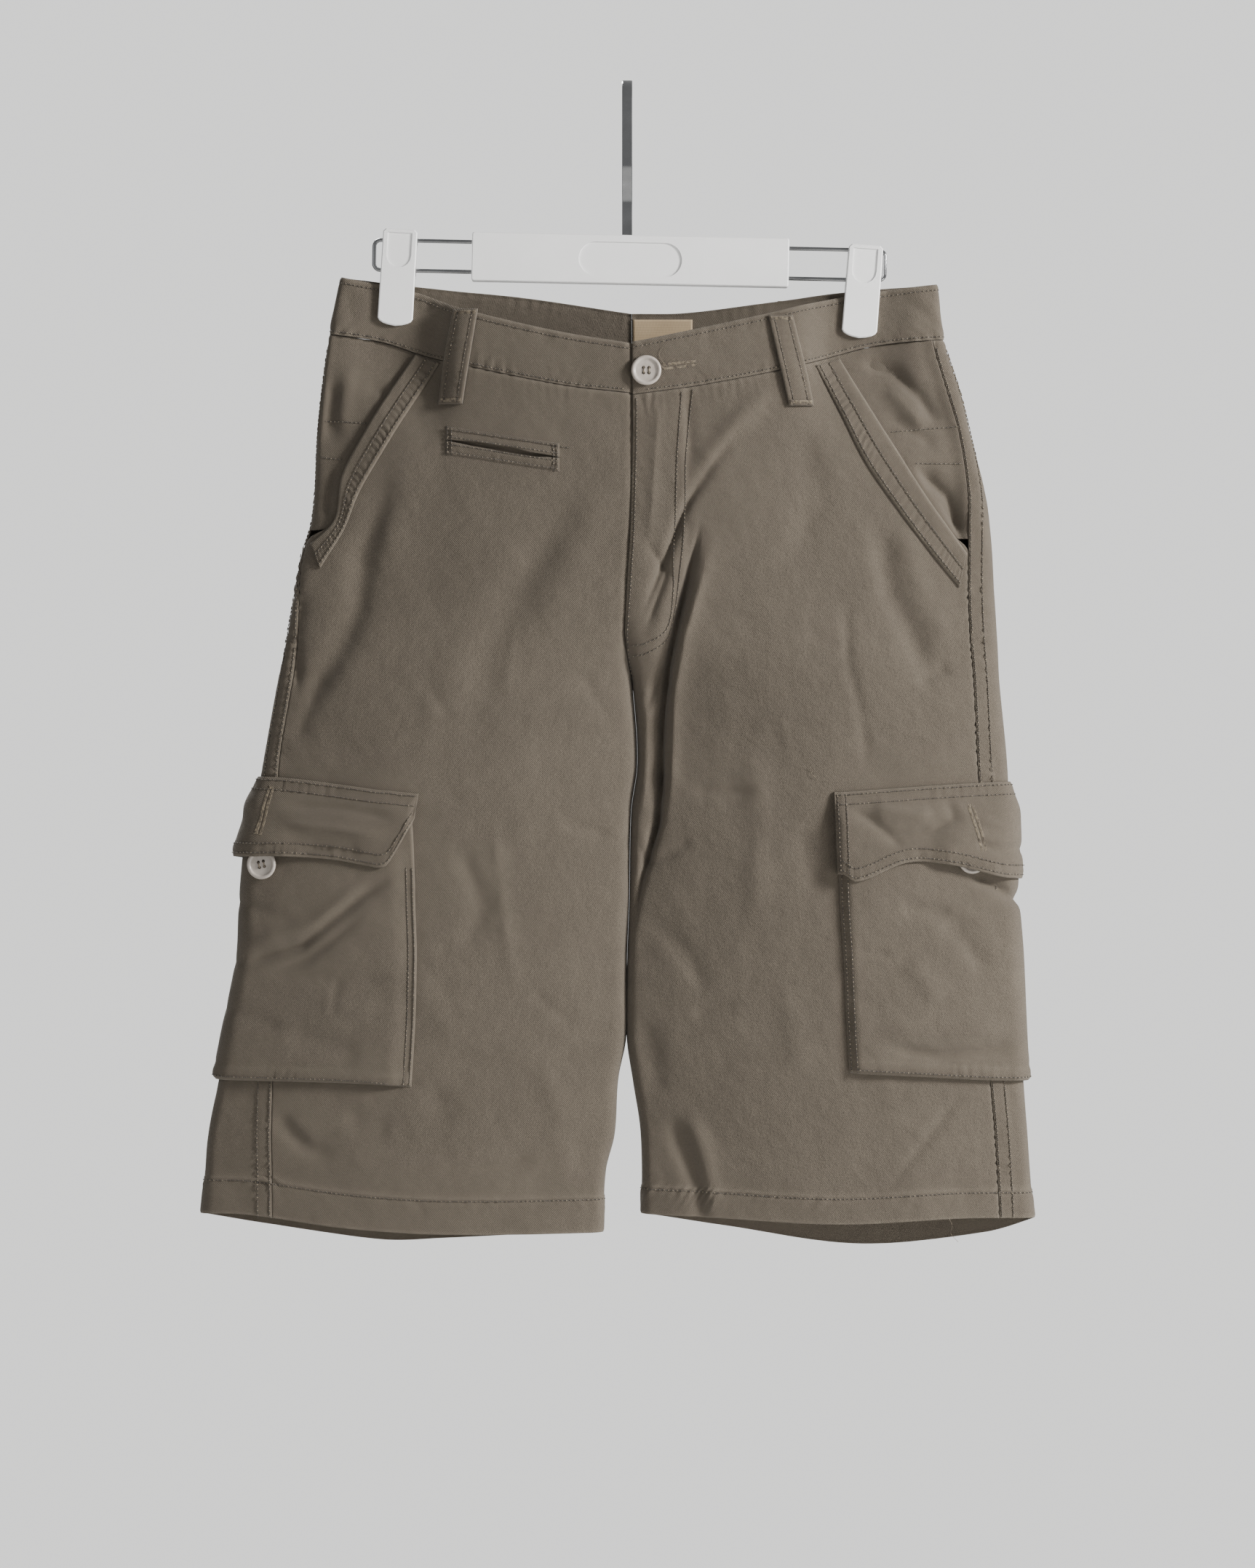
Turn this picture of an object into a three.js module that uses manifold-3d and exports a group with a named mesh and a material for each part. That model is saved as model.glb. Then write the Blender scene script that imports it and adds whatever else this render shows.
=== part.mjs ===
// Cargo shorts on a clip hanger, in millimetres. +Z is up and the front of the shorts faces -Y.
// The origin is the inside top of the hook, where it rests on its rail.
// "left" and "right" are the sides that a viewer in front of the shorts sees.
import * as THREE from "three";
import { mergeVertices } from "three/addons/utils/BufferGeometryUtils.js";
import Module from "manifold-3d";

const wasm = await Module();
wasm.setup();

// Cloth thicknesses and the gap that parts two pieces at a seam.
const GAP = 0.3;
const PANEL_WALL = 1.2;
const BAND_WALL = 2;
const BAND_PROUD = 0.5;
const STRIP_WALL = 1.2;
const FLAP_WALL = 1.8;
const LABEL_WALL = 0.8;
const FACING_DROP = 1.9;
const FACING_TUCK = 9;
const FLY_PROUD = 0.9;
const FLY_WIDTH = 36;
const FLY_BOTTOM = -388;
const LENS_STEP = 0.5;

// The clips pinch the two waistband layers together, this far from the middle plane.
const PINCH_DEPTH = 2.2;
const PINCH_REACH = 34;
const PINCH_FULL = -180;
const PINCH_GONE = -262;

// Cargo pockets and flaps: lengths along the cloth are from the side seam, front first.
const POCKET_FRONT = 93;
const POCKET_BACK = 95;
const POCKET_PUFF = 4.9;
const POCKET_TOP = -505;
const FLAP_LIFT = 6.2;
const FLAP_OVERHANG = 3;
const FLAP_RISE = 22;

const BUTTON_RADIUS = 10.3;
const BUTTON_HEIGHT = 3;
const BUTTON_RIM = 2.2;
const BUTTON_HOLE = 1.1;
const BUTTON_HOLE_RING = 2.6;

const HOOK_WIDTH = 7;
const HOOK_THICK = 2;
const HOOK_INSIDE = 14.6;
const HOOK_STRAIGHT = -56;
const HOOK_NECK = -84;
const HOOK_TIP_ANGLE = -35;
const BAR = { length: 217.5, height: 33.4, thick: 9, x: 2.2, z: -121.4, tilt: 1.19 };
const BAR_RECESS = { length: 71, height: 23.5, deep: 0.9 };
const WIRE = { radius: 1.4, spread: 10.3, corner: 4.5 };
const WIRE_END = { left: 176.1, right: 174.9 };
const CLIP = { width: 23.5, thick: 3, block: 7.4, recessWide: 17, recessTall: 24, recessDeep: 0.8 };

// Turns rows of numbers into rows with named columns.
function table(names, rows) {
  const keys = names.split(" ");
  return rows.map((row) => Object.fromEntries(keys.map((key, i) => [key, row[i]])));
}

// One row for each height: the side edge and the inner edge, out from the middle plane, the depth
// of front and back, the radius of the folded edge, how far the section has become a leg, and
// how far the side seam lies in front of the side edge.
const SECTION_COLUMNS = "z outer inner front back edge leg seam";
const sections = {
  left: table(SECTION_COLUMNS, [
    [-130, 196, -3, 18, 6, 4, 0, 0],
    [-173, 204.5, -3.2, 22, 9, 4.5, 0, 0],
    [-232, 212, -3.8, 25, 15, 6, 0, 0],
    [-300, 216.5, -2.8, 27, 21, 8, 0, 0],
    [-330, 225, -0.6, 27, 23, 9, 0, 1],
    [-360, 230, 0.6, 26.5, 24, 9.5, 0.12, 3.5],
    [-385, 234.5, 1, 26, 25, 10, 0.42, 6],
    [-413, 240.5, -3.5, 25, 25, 10, 1, 10],
    [-466, 250, -7, 24, 24, 10, 1, 19],
    [-501, 256, -2.7, 24, 24, 10, 1, 23],
    [-560, 262, -1.5, 24, 24, 10, 1, 29],
    [-600, 264, 0, 24, 24, 10, 1, 32],
    [-655, 275, 0.5, 23, 23, 10, 1, 36],
    [-684, 280.5, 6, 22, 23, 10, 1, 38],
    [-722, 288, 8.5, 22, 23, 9, 1, 43],
    [-747, 290, 14.5, 21, 22, 9, 1, 47],
    [-789, 294, 16.6, 21, 22, 9, 1, 51],
    [-806, 295, 17, 21, 22, 9, 1, 52],
  ]),
  right: table(SECTION_COLUMNS, [
    [-130, 212.5, 3, 18, 6, 4, 0, 11],
    [-178, 218, 3.2, 22, 9, 4.5, 0, 11],
    [-212, 229, 3.6, 24, 13, 5.5, 0, 13],
    [-240, 235.5, 3.8, 25, 16, 6.5, 0, 12],
    [-281, 246, 2.9, 26, 19, 7.5, 0, 18],
    [-311, 250, 2, 27, 21, 8, 0, 22],
    [-352, 252.5, -0.4, 26.5, 24, 9, 0.08, 19],
    [-385, 254.5, -1, 26, 25, 10, 0.42, 19],
    [-413, 256, 4.1, 25, 25, 10, 1, 21],
    [-466, 261, 7.8, 24, 24, 10, 1, 26],
    [-501, 262.5, 3.4, 24, 24, 10, 1, 27],
    [-560, 265, 2.3, 24, 24, 10, 1, 28],
    [-600, 268, 0.9, 24, 24, 10, 1, 29],
    [-655, 270.5, 0.4, 23, 23, 10, 1, 30],
    [-686, 272.5, 4, 22, 23, 10, 1, 30],
    [-719, 275, 9, 22, 23, 9, 1, 31],
    [-761, 278, 10, 21, 22, 9, 1, 31],
    [-806, 283, 8.5, 21, 22, 9, 1, 32],
  ]),
};

// Heights of the edges that run across, by the share of the way from the side edge to the middle.
const EDGE_COLUMNS = "share z";
const bandTop = {
  left: {
    front: table(EDGE_COLUMNS, [[0, -133], [0.28, -144], [0.42, -155], [0.75, -172], [1, -181]]),
    back: table(EDGE_COLUMNS, [[0, -133], [0.28, -140], [0.63, -146.5], [1, -157.5]]),
  },
  right: {
    front: table(EDGE_COLUMNS, [[0, -138], [0.32, -147], [0.58, -160.5], [0.95, -178], [1, -180]]),
    back: table(EDGE_COLUMNS, [[0, -138], [0.33, -144], [0.56, -150], [0.83, -157], [1, -157.5]]),
  },
};
const waistSeam = {
  left: {
    front: table(EDGE_COLUMNS, [[0, -172], [0.19, -178], [0.38, -190.5], [0.76, -208.5], [1, -215]]),
    back: table(EDGE_COLUMNS, [[0, -172], [0.28, -179], [0.63, -186], [1, -197]]),
  },
  right: {
    front: table(EDGE_COLUMNS, [[0, -176], [0.25, -181], [0.52, -197], [0.8, -209.5], [1, -216]]),
    back: table(EDGE_COLUMNS, [[0, -176], [0.33, -183], [0.56, -189], [1, -197]]),
  },
};
const hem = {
  left: {
    front: table(EDGE_COLUMNS, [[0, -776], [0.13, -776], [0.38, -785], [0.6, -789], [1, -789]]),
    back: table(EDGE_COLUMNS, [[0, -776], [0.17, -785], [0.45, -797], [0.6, -796], [1, -789]]),
  },
  right: {
    front: table(EDGE_COLUMNS, [[0, -779], [0.2, -778.5], [0.5, -782], [0.8, -778], [1, -776]]),
    back: table(EDGE_COLUMNS, [[0, -779], [0.14, -791], [0.45, -800], [0.77, -787], [1, -776]]),
  },
};

// The slant pocket: how far out its mouth and the inner edge of its band lie at each height.
const SLANT_COLUMNS = "step mouth mouthZ band bandZ";
const slant = {
  left: table(SLANT_COLUMNS, [
    [0, 145.5, -187, 128, -193],
    [1, 163, -213, 149.5, -225.5],
    [2, 180, -241, 166.5, -253.5],
    [3, 195, -270, 183, -281.5],
    [4, 200, -300, 194, -308],
    [5, 216.5, -317, 210, -334],
  ]),
  right: table(SLANT_COLUMNS, [
    [0, 146, -190, 129, -195],
    [1, 161, -215, 146, -228],
    [2, 176.5, -240.5, 163, -262],
    [3, 202, -281, 188, -298],
    [4, 219, -305, 208, -324],
    [5, 232.5, -323.5, 227, -347],
  ]),
};

// Cargo flaps: where top and bottom edges lie, by length along the cloth from the side edge.
const FLAP_COLUMNS = "along top bottom";
const flapEdges = {
  left: table(FLAP_COLUMNS, [
    [-80, -479, -536],
    [-30, -477, -535],
    [20, -477, -531],
    [65, -482, -533],
    [98, -486, -537.5],
    [124, -488.5, -509],
  ]),
  right: table(FLAP_COLUMNS, [
    [-80, -481, -545],
    [-30, -480, -546],
    [10, -480, -546],
    [50, -482, -537],
    [80, -484, -535],
    [115, -486.5, -548],
    [124, -487, -543],
  ]),
};
const pocketBottom = {
  left: table("along z", [[-80, -684], [40, -684.5], [100, -686], [124, -688]]),
  right: table("along z", [[-80, -686], [20, -684.5], [80, -681], [124, -678.5]]),
};

// The largest creases of the cloth: height out of the face, half width, and where each one runs.
const folds = [
  {
    side: "right", face: "front", height: -3.4, reach: 8,
    path: table("x z", [[50, -300], [43, -336], [31, -380], [24, -422], [22, -470], [19, -515], [7, -552]]),
  },
  {
    side: "right", face: "front", height: 1.6, reach: 9,
    path: table("x z", [[103, -206], [76, -232], [50, -262]]),
  },
  {
    side: "right", face: "front", height: -2, reach: 7,
    path: table("x z", [[74, -255], [45, -294], [26, -331]]),
  },
  {
    side: "left", face: "front", height: -2.2, reach: 9,
    path: table("x z", [[-8, -400], [-16, -450], [-14, -520]]),
  },
  {
    side: "left", face: "back", height: -2.6, reach: 10,
    path: table("x z", [[-14, -420], [-26, -480], [-24, -560]]),
  },
  {
    side: "right", face: "back", height: -2.6, reach: 10,
    path: table("x z", [[18, -425], [30, -490], [26, -570]]),
  },
];

const SIGN = { left: -1, right: 1 };
const OTHER = { front: -1, back: 1 };
const clipOut = { left: 157, right: 160 };

const mix = (a, b, t) => a + (b - a) * t;
const clamp = (v, low, high) => Math.min(high, Math.max(low, v));
const smooth = (t) => clamp(t, 0, 1) ** 2 * (3 - 2 * clamp(t, 0, 1));

// Reads a table between its rows, along soft curves. The first column is what it is looked up by.
function read(rows, at) {
  const keys = Object.keys(rows[0]);
  const key = keys[0];
  const turn = Math.sign(rows[1][key] - rows[0][key]);
  const last = rows.length - 1;
  let i = 0;
  while (i < last - 1 && turn * (at - rows[i + 1][key]) > 0) i += 1;
  const span = rows[i + 1][key] - rows[i][key];
  const t = clamp((at - rows[i][key]) / span, 0, 1);
  const before = rows[Math.max(i - 1, 0)];
  const after = rows[Math.min(i + 2, last)];
  const found = {};
  for (const name of keys.slice(1)) {
    const a = rows[i][name];
    const b = rows[i + 1][name];
    const rise = ((b - before[name]) / (rows[i + 1][key] - before[key])) * span;
    const fall = ((after[name] - a) / (after[key] - rows[i][key])) * span;
    found[name] =
      a + t * rise + t * t * (3 * (b - a) - 2 * rise - fall) + t ** 3 * (2 * (a - b) + rise + fall);
  }
  return found;
}

const sectionCache = new Map();
function section(side, z) {
  const name = side + z.toFixed(4);
  if (!sectionCache.has(name)) sectionCache.set(name, read(sections[side], z));
  return sectionCache.get(name);
}

// A flat lens with rounded edges: a broad arc between two small ones. Length runs along the cloth
// from the edge, and the answer is how far out from the lens's middle and how deep it lies there.
function lensSizes(half, depth, edge) {
  const broad = ((half - edge) ** 2 + depth ** 2 - edge ** 2) / (2 * (depth - edge));
  const turn = Math.atan2(half - edge, broad - depth);
  const corner = edge * (Math.PI / 2 - turn);
  return { broad, turn, corner, quarter: corner + broad * turn };
}
function lens(half, depth, edge, length) {
  const { broad, turn, corner, quarter } = lensSizes(half, depth, edge);
  const far = length > quarter;
  const near = far ? 2 * quarter - length : length;
  const onEdge = near < corner;
  const angle = onEdge ? near / edge : turn - (near - corner) / broad;
  const out = onEdge ? half - edge + edge * Math.cos(angle) : broad * Math.sin(angle);
  const deep = onEdge ? edge * Math.sin(angle) : depth - broad + broad * Math.cos(angle);
  return { out: far ? -out : out, deep };
}

// The cloth's length from the side edge to the middle of the body, or to the inseam of the leg.
function clothLength(side, face, z) {
  const s = section(side, z);
  const body = lensSizes(s.outer - s.inner, s[face], s.edge).quarter;
  const leg = 2 * lensSizes((s.outer - s.inner) / 2, s[face], s.edge).quarter;
  return mix(body, leg, clamp(s.leg, 0, 1));
}

function foldHeight(side, face, x, z) {
  let height = 0;
  for (const fold of folds) {
    if (fold.side !== side || fold.face !== face) continue;
    let nearest = Infinity;
    for (let i = 0; i + 1 < fold.path.length; i += 1) {
      const a = fold.path[i];
      const b = fold.path[i + 1];
      const run = { x: b.x - a.x, z: b.z - a.z };
      const t = clamp(((x - a.x) * run.x + (z - a.z) * run.z) / (run.x ** 2 + run.z ** 2), 0, 1);
      nearest = Math.min(nearest, Math.hypot(x - a.x - t * run.x, z - a.z - t * run.z));
    }
    height += fold.height * Math.exp(-((nearest / fold.reach) ** 2));
  }
  return height;
}

// The cloth's face at a length along it, in front of the side edge or, below nought, behind it.
function facePoint(side, length, z) {
  const face = length >= 0 ? "front" : "back";
  const s = section(side, z);
  const legShare = clamp(s.leg, 0, 1);
  const share = Math.abs(length) / clothLength(side, face, z);
  const half = s.outer - s.inner;
  const bodyQuarter = lensSizes(half, s[face], s.edge).quarter;
  const legQuarter = lensSizes(half / 2, s[face], s.edge).quarter;
  const body = lens(half, s[face], s.edge, share * bodyQuarter);
  const leg = lens(half / 2, s[face], s.edge, share * 2 * legQuarter);
  const out = mix(s.inner + body.out, (s.outer + s.inner) / 2 + leg.out, legShare);
  let deep = mix(body.deep, leg.deep, legShare);
  const pinch =
    Math.exp(-(((out - clipOut[side]) / PINCH_REACH) ** 4)) *
    smooth((z - PINCH_GONE) / (PINCH_FULL - PINCH_GONE));
  deep = mix(deep, PINCH_DEPTH, pinch);
  const clearOfEdges = smooth(Math.abs(length) / 18) * mix(1, smooth((1 - share) * 14), legShare);
  deep += clearOfEdges * foldHeight(side, face, SIGN[side] * out, z);
  return new THREE.Vector3(SIGN[side] * out, OTHER[face] * deep, z);
}

// The same point moved out of the face by a lift, which is negative towards the inside.
function clothPoint(side, length, z, lift = 0) {
  const point = facePoint(side, length, z);
  if (lift === 0) return point;
  const along = facePoint(side, length + LENS_STEP, z).sub(facePoint(side, length - LENS_STEP, z));
  const up = facePoint(side, length, z + LENS_STEP).sub(facePoint(side, length, z - LENS_STEP));
  const normal = along.cross(up).normalize().multiplyScalar(-SIGN[side]);
  return point.addScaledVector(normal, lift);
}

// The length along the cloth at which its front or back lies a given way out from the middle.
function lengthAt(side, face, out, z) {
  let near = 0;
  let far = clothLength(side, face, z);
  const way = face === "front" ? 1 : -1;
  for (let i = 0; i < 40; i += 1) {
    const middle = (near + far) / 2;
    if (SIGN[side] * facePoint(side, way * middle, z).x > out) near = middle;
    else far = middle;
  }
  return way * near;
}
function clothPointAt(side, face, x, z, lift) {
  return clothPoint(side, lengthAt(side, face, SIGN[side] * x, z), z, lift);
}

// The height of an edge that runs across, at a length along the cloth.
function edgeHeight(edges, side, length) {
  const face = length >= 0 ? "front" : "back";
  let z = edges[side][face][0].z;
  for (let i = 0; i < 4; i += 1) {
    z = read(edges[side][face], Math.abs(length) / clothLength(side, face, z)).z;
  }
  return z;
}

// A wall between an outer and an inner net of points, closed round its four borders.
function wall(columns, rows, outer, inner) {
  const positions = [];
  const nets = [outer, inner].map((net) => {
    const start = positions.length / 3;
    for (let j = 0; j < rows; j += 1) {
      for (let i = 0; i < columns; i += 1) positions.push(...net(i, j).toArray());
    }
    return (i, j) => start + j * columns + i;
  });
  const [near, far] = nets;
  const faces = [];
  const quad = (a, b, c, d) => faces.push(a, b, c, a, c, d);
  for (let j = 0; j + 1 < rows; j += 1) {
    for (let i = 0; i + 1 < columns; i += 1) {
      quad(near(i, j), near(i + 1, j), near(i + 1, j + 1), near(i, j + 1));
      quad(far(i, j), far(i, j + 1), far(i + 1, j + 1), far(i + 1, j));
    }
  }
  for (let i = 0; i + 1 < columns; i += 1) {
    quad(near(i + 1, 0), near(i, 0), far(i, 0), far(i + 1, 0));
    quad(near(i, rows - 1), near(i + 1, rows - 1), far(i + 1, rows - 1), far(i, rows - 1));
  }
  for (let j = 0; j + 1 < rows; j += 1) {
    quad(near(0, j), near(0, j + 1), far(0, j + 1), far(0, j));
    quad(near(columns - 1, j + 1), near(columns - 1, j), far(columns - 1, j), far(columns - 1, j + 1));
  }
  const geometry = new THREE.BufferGeometry();
  geometry.setAttribute("position", new THREE.BufferAttribute(new Float32Array(positions), 3));
  geometry.setIndex(faces);
  return facingOut(geometry);
}

// Turns every face round where the shape encloses less than nothing.
function facingOut(geometry) {
  const p = geometry.attributes.position;
  const index = geometry.index.array;
  const [a, b, c] = [new THREE.Vector3(), new THREE.Vector3(), new THREE.Vector3()];
  let volume = 0;
  for (let i = 0; i < index.length; i += 3) {
    a.fromBufferAttribute(p, index[i]);
    b.fromBufferAttribute(p, index[i + 1]);
    c.fromBufferAttribute(p, index[i + 2]);
    volume += a.dot(b.cross(c));
  }
  if (volume < 0) {
    for (let i = 0; i < index.length; i += 3) {
      [index[i + 1], index[i + 2]] = [index[i + 2], index[i + 1]];
    }
  }
  return geometry;
}

// Joins and cuts of closed shapes.
function solid(geometry) {
  const bare = geometry.index ? geometry.toNonIndexed() : geometry.clone();
  bare.deleteAttribute("normal");
  bare.deleteAttribute("uv");
  const merged = mergeVertices(bare, 1e-4);
  return new wasm.Manifold(
    new wasm.Mesh({
      numProp: 3,
      vertProperties: merged.attributes.position.array,
      triVerts: new Uint32Array(merged.index.array),
    }),
  );
}
function shapeOf(manifold) {
  const mesh = manifold.getMesh();
  const geometry = new THREE.BufferGeometry();
  geometry.setAttribute("position", new THREE.BufferAttribute(mesh.vertProperties, 3));
  geometry.setIndex(new THREE.BufferAttribute(mesh.triVerts, 1));
  return geometry;
}

const clothColour = { color: 0x6b6357, roughness: 0.9, metalness: 0 };
const materials = {
  cloth: new THREE.MeshStandardMaterial({ ...clothColour, name: "cloth" }),
  label: new THREE.MeshStandardMaterial({ color: 0xb8a684, roughness: 0.8, name: "label" }),
  button: new THREE.MeshStandardMaterial({ color: 0xa79c8c, roughness: 0.35, name: "button" }),
  plastic: new THREE.MeshStandardMaterial({ color: 0xf2f2f2, roughness: 0.25, name: "plastic" }),
  chrome: new THREE.MeshStandardMaterial({
    color: 0xc8c8c8, roughness: 0.12, metalness: 1, name: "chrome",
  }),
};

const shorts = new THREE.Group();
const part = new THREE.Group();
part.add(shorts);
function piece(name, geometry, material, group = shorts) {
  const mesh = new THREE.Mesh(geometry, materials[material]);
  mesh.name = name;
  group.add(mesh);
  return mesh;
}

// Where a slant pocket's mouth or band edge lies at a height, out from the middle plane.
function slantOut(side, z) {
  const rows = slant[side].map((row) => ({ z: row.mouthZ, out: row.mouth }));
  return read(rows, z).out;
}
const slantEnd = { left: slant.left.at(-1).mouthZ, right: slant.right.at(-1).mouthZ };

// The front's border towards the side: the pocket's mouth above, the side seam below it.
function frontStart(side, z) {
  const seam = section(side, z).seam;
  return z > slantEnd[side] ? Math.max(seam, lengthAt(side, "front", slantOut(side, z), z)) : seam;
}

// How far the fly's doubled cloth stands proud, on the right front beside the middle.
function flyProud(side, x, z) {
  if (side === "left") return 0;
  const across = smooth((FLY_WIDTH + 3 - (x - 3)) / 5);
  const down = smooth((z - FLY_BOTTOM) / 12);
  return FLY_PROUD * across * down;
}

// Rows lie closer below the waist, where the clips pinch, and round the crotch.
const PANEL_ROWS = [
  0, 0.02, 0.04, 0.06, 0.08, 0.105, 0.135, 0.17, 0.2, 0.222, 0.245, 0.28, 0.315,
  0.345, 0.37, 0.4, 0.44, 0.49, 0.54, 0.6, 0.66, 0.72, 0.78, 0.84, 0.9, 0.95, 1,
];

// Lengths from one border of a panel to the other, close together round the folded edges.
const EDGE_STEPS = [12, 8, 4, 0, -4, -8, -12];
const MOUTH_STEPS = [0, 4, 8, 13, 19];
const INNER_STEPS = [14, 9, 4.5, 0];

function panelFront(side) {
  const lead = MOUTH_STEPS.length;
  const plain = 12;
  const columns = lead + plain + INNER_STEPS.length;
  const net = (lift) => (i, j) => {
    let length = 0;
    let z = mix(-190, -780, PANEL_ROWS[j]);
    for (let k = 0; k < 5; k += 1) {
      const start = frontStart(side, z) + GAP / 2;
      const end = clothLength(side, "front", z) - GAP;
      const first = start + MOUTH_STEPS.at(-1);
      const last = end - INNER_STEPS[0];
      if (i < lead) length = start + MOUTH_STEPS[i];
      else if (i < lead + plain) length = mix(first, last, (i - lead + 1) / (plain + 1));
      else length = end - INNER_STEPS[i - lead - plain];
      const top = edgeHeight(waistSeam, side, length) - GAP;
      z = mix(top, edgeHeight(hem, side, length), PANEL_ROWS[j]);
    }
    const proud = lift === 0 ? flyProud(side, facePoint(side, length, z).x, z) : 0;
    return clothPoint(side, length, z, lift + proud);
  };
  return wall(columns, PANEL_ROWS.length, net(0), net(-PANEL_WALL));
}

function panelBack(side) {
  const lead = 3;
  const plain = 8;
  const columns = lead + EDGE_STEPS.length + plain + INNER_STEPS.length;
  const net = (lift) => (i, j) => {
    let length = 0;
    let z = mix(-190, -780, PANEL_ROWS[j]);
    for (let k = 0; k < 5; k += 1) {
      const start = section(side, z).seam - GAP / 2;
      const end = GAP - clothLength(side, "back", z);
      const squeeze = clamp(start / (EDGE_STEPS[0] * 1.6), 0, 1);
      const steps = EDGE_STEPS.map((step) => (step > 0 ? step * squeeze : step));
      const last = steps.at(-1);
      const inner = i - lead - steps.length - plain;
      if (i < lead) length = mix(start, steps[0], i / lead);
      else if (i < lead + steps.length) length = steps[i - lead];
      else if (inner < 0) {
        const share = (i - lead - steps.length + 1) / (plain + 1);
        length = mix(last, end + INNER_STEPS[0], share);
      } else length = end + INNER_STEPS[inner];
      const top = edgeHeight(waistSeam, side, length) - GAP;
      z = mix(top, edgeHeight(hem, side, length), PANEL_ROWS[j]);
    }
    return clothPoint(side, length, z, lift);
  };
  return wall(columns, PANEL_ROWS.length, net(0), net(-PANEL_WALL));
}

// The pocket bag's facing, which shows between the mouth and the side seam, under the front.
function pocketFacing(side) {
  const [columns, rows] = [8, 9];
  const net = (lift) => (i, j) => {
    let length = 0;
    let z = -200;
    for (let k = 0; k < 5; k += 1) {
      const start = section(side, z).seam + GAP / 2;
      const end = lengthAt(side, "front", slantOut(side, z) - FACING_TUCK, z);
      length = mix(start, Math.max(end, start + 3), i / (columns - 1));
      const top = edgeHeight(waistSeam, side, length) - GAP;
      z = mix(top, slantEnd[side] + 10, j / (rows - 1));
    }
    return clothPoint(side, length, z, lift);
  };
  return wall(columns, rows, net(-FACING_DROP), net(-FACING_DROP - PANEL_WALL));
}

function pocketBand(side) {
  const [columns, rows] = [4, 16];
  const net = (lift) => (i, j) => {
    const row = read(slant[side], (j / (rows - 1)) * 5);
    const across = i / (columns - 1);
    const z = mix(row.mouthZ, row.bandZ, across);
    const x = SIGN[side] * mix(row.mouth, row.band, across);
    return clothPointAt(side, "front", x, z, lift);
  };
  return wall(columns, rows, net(GAP + STRIP_WALL), net(GAP));
}

// Each half of the waistband runs from the middle of the front round the side to the middle of the back.
function waistband(side) {
  const [columns, rows] = [49, 3];
  const proud = side === "right" ? BAND_PROUD + FLY_PROUD : BAND_PROUD;
  const net = (lift) => (i, j) => {
    const z0 = edgeHeight(waistSeam, side, 0);
    let z = z0;
    let length = 0;
    for (let k = 0; k < 4; k += 1) {
      const front = clothLength(side, "front", z) - GAP;
      const back = GAP - clothLength(side, "back", z);
      length = mix(front, back, i / (columns - 1));
      z = mix(edgeHeight(waistSeam, side, length), edgeHeight(bandTop, side, length), j / (rows - 1));
    }
    const nearMiddle = length > 0 ? smooth((length - 0.75 * clothLength(side, "front", z)) / 40) : 0;
    return clothPoint(side, length, z, lift + mix(BAND_PROUD, proud, nearMiddle));
  };
  return wall(columns, rows, net(0), net(-BAND_WALL));
}

// A strip that lies on the cloth between two heights, leaning as it goes down.
function strip(side, face, columns, rows, spot, liftAt, thick) {
  const net = (extra) => (i, j) => {
    const u = i / (columns - 1);
    const v = j / (rows - 1);
    const { x, z } = spot(u, v);
    return clothPointAt(side, face, x, z, liftAt(u, v) + extra);
  };
  return wall(columns, rows, net(thick), net(0));
}

const beltLoops = table("name side face topX topZ bottomX bottomZ", [
  ["belt_loop_front_left", "left", "front", -110, -157, -120.5, -222],
  ["belt_loop_front_right", "right", "front", 104.5, -161.5, 118.5, -223.5],
  ["belt_loop_back_left", "left", "back", -96, -145.5, -98, -205],
  ["belt_loop_back_middle", "right", "back", 12, -159, 12, -220],
  ["belt_loop_back_right", "right", "back", 112, -148.5, 115, -207],
]);
const LOOP_WIDTH = 16.5;
const LOOP_THICK = 1.5;
const LOOP_BOW = 1.6;
function beltLoop(loop) {
  const spot = (u, v) => ({
    x: mix(loop.topX, loop.bottomX, v) + (u - 0.5) * LOOP_WIDTH,
    z: mix(loop.topZ, loop.bottomZ, v),
  });
  const lift = (u, v) => BAND_PROUD + 2 * GAP + LOOP_BOW * Math.sin(Math.PI * v);
  return strip(loop.side, loop.face, 3, 9, spot, lift, LOOP_THICK);
}

// The small welted pocket: two lips with a slit between them that opens in the middle.
const COIN = { left: -124, right: -46, topLeft: -237, topRight: -249.5, tall: 19.5, slit: 1.4 };
function coinLip(upper) {
  const spot = (u, v) => {
    const x = mix(COIN.left, COIN.right, u);
    const top = mix(COIN.topLeft, COIN.topRight, u);
    const half = 0.5 * COIN.slit * Math.sin(Math.PI * u) + GAP;
    const middle = top - COIN.tall * 0.5;
    const span = upper ? [top, middle + half] : [middle - half, top - COIN.tall];
    return { x, z: mix(span[0], span[1], v) };
  };
  return strip("left", "front", 11, 3, spot, () => GAP, STRIP_WALL);
}

// The label lies inside the back waistband, so its lift is towards the inside.
const LABEL = { left: 4, right: 45, top: -161.5, bottom: -193 };
function labelPatch() {
  const spot = (u, v) => ({
    x: mix(LABEL.left, LABEL.right, u),
    z: mix(LABEL.top, LABEL.bottom, v),
  });
  const lift = () => -(BAND_WALL - BAND_PROUD) - GAP - LABEL_WALL;
  return strip("right", "back", 6, 5, spot, lift, LABEL_WALL);
}

// Lengths along the cloth that a cargo pocket's columns take: its own borders, and the panel's
// own lines round the folded edge, so that the two lie face to face there.
function pocketLengths(from, to) {
  const before = [0.35, 0.7, 1].map((share) => mix(from, EDGE_STEPS[0], share));
  const after = [0.25, 0.5, 0.75, 1].map((share) => mix(EDGE_STEPS.at(-1), to, share));
  return [from, ...before, ...EDGE_STEPS.slice(1), ...after];
}

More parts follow.
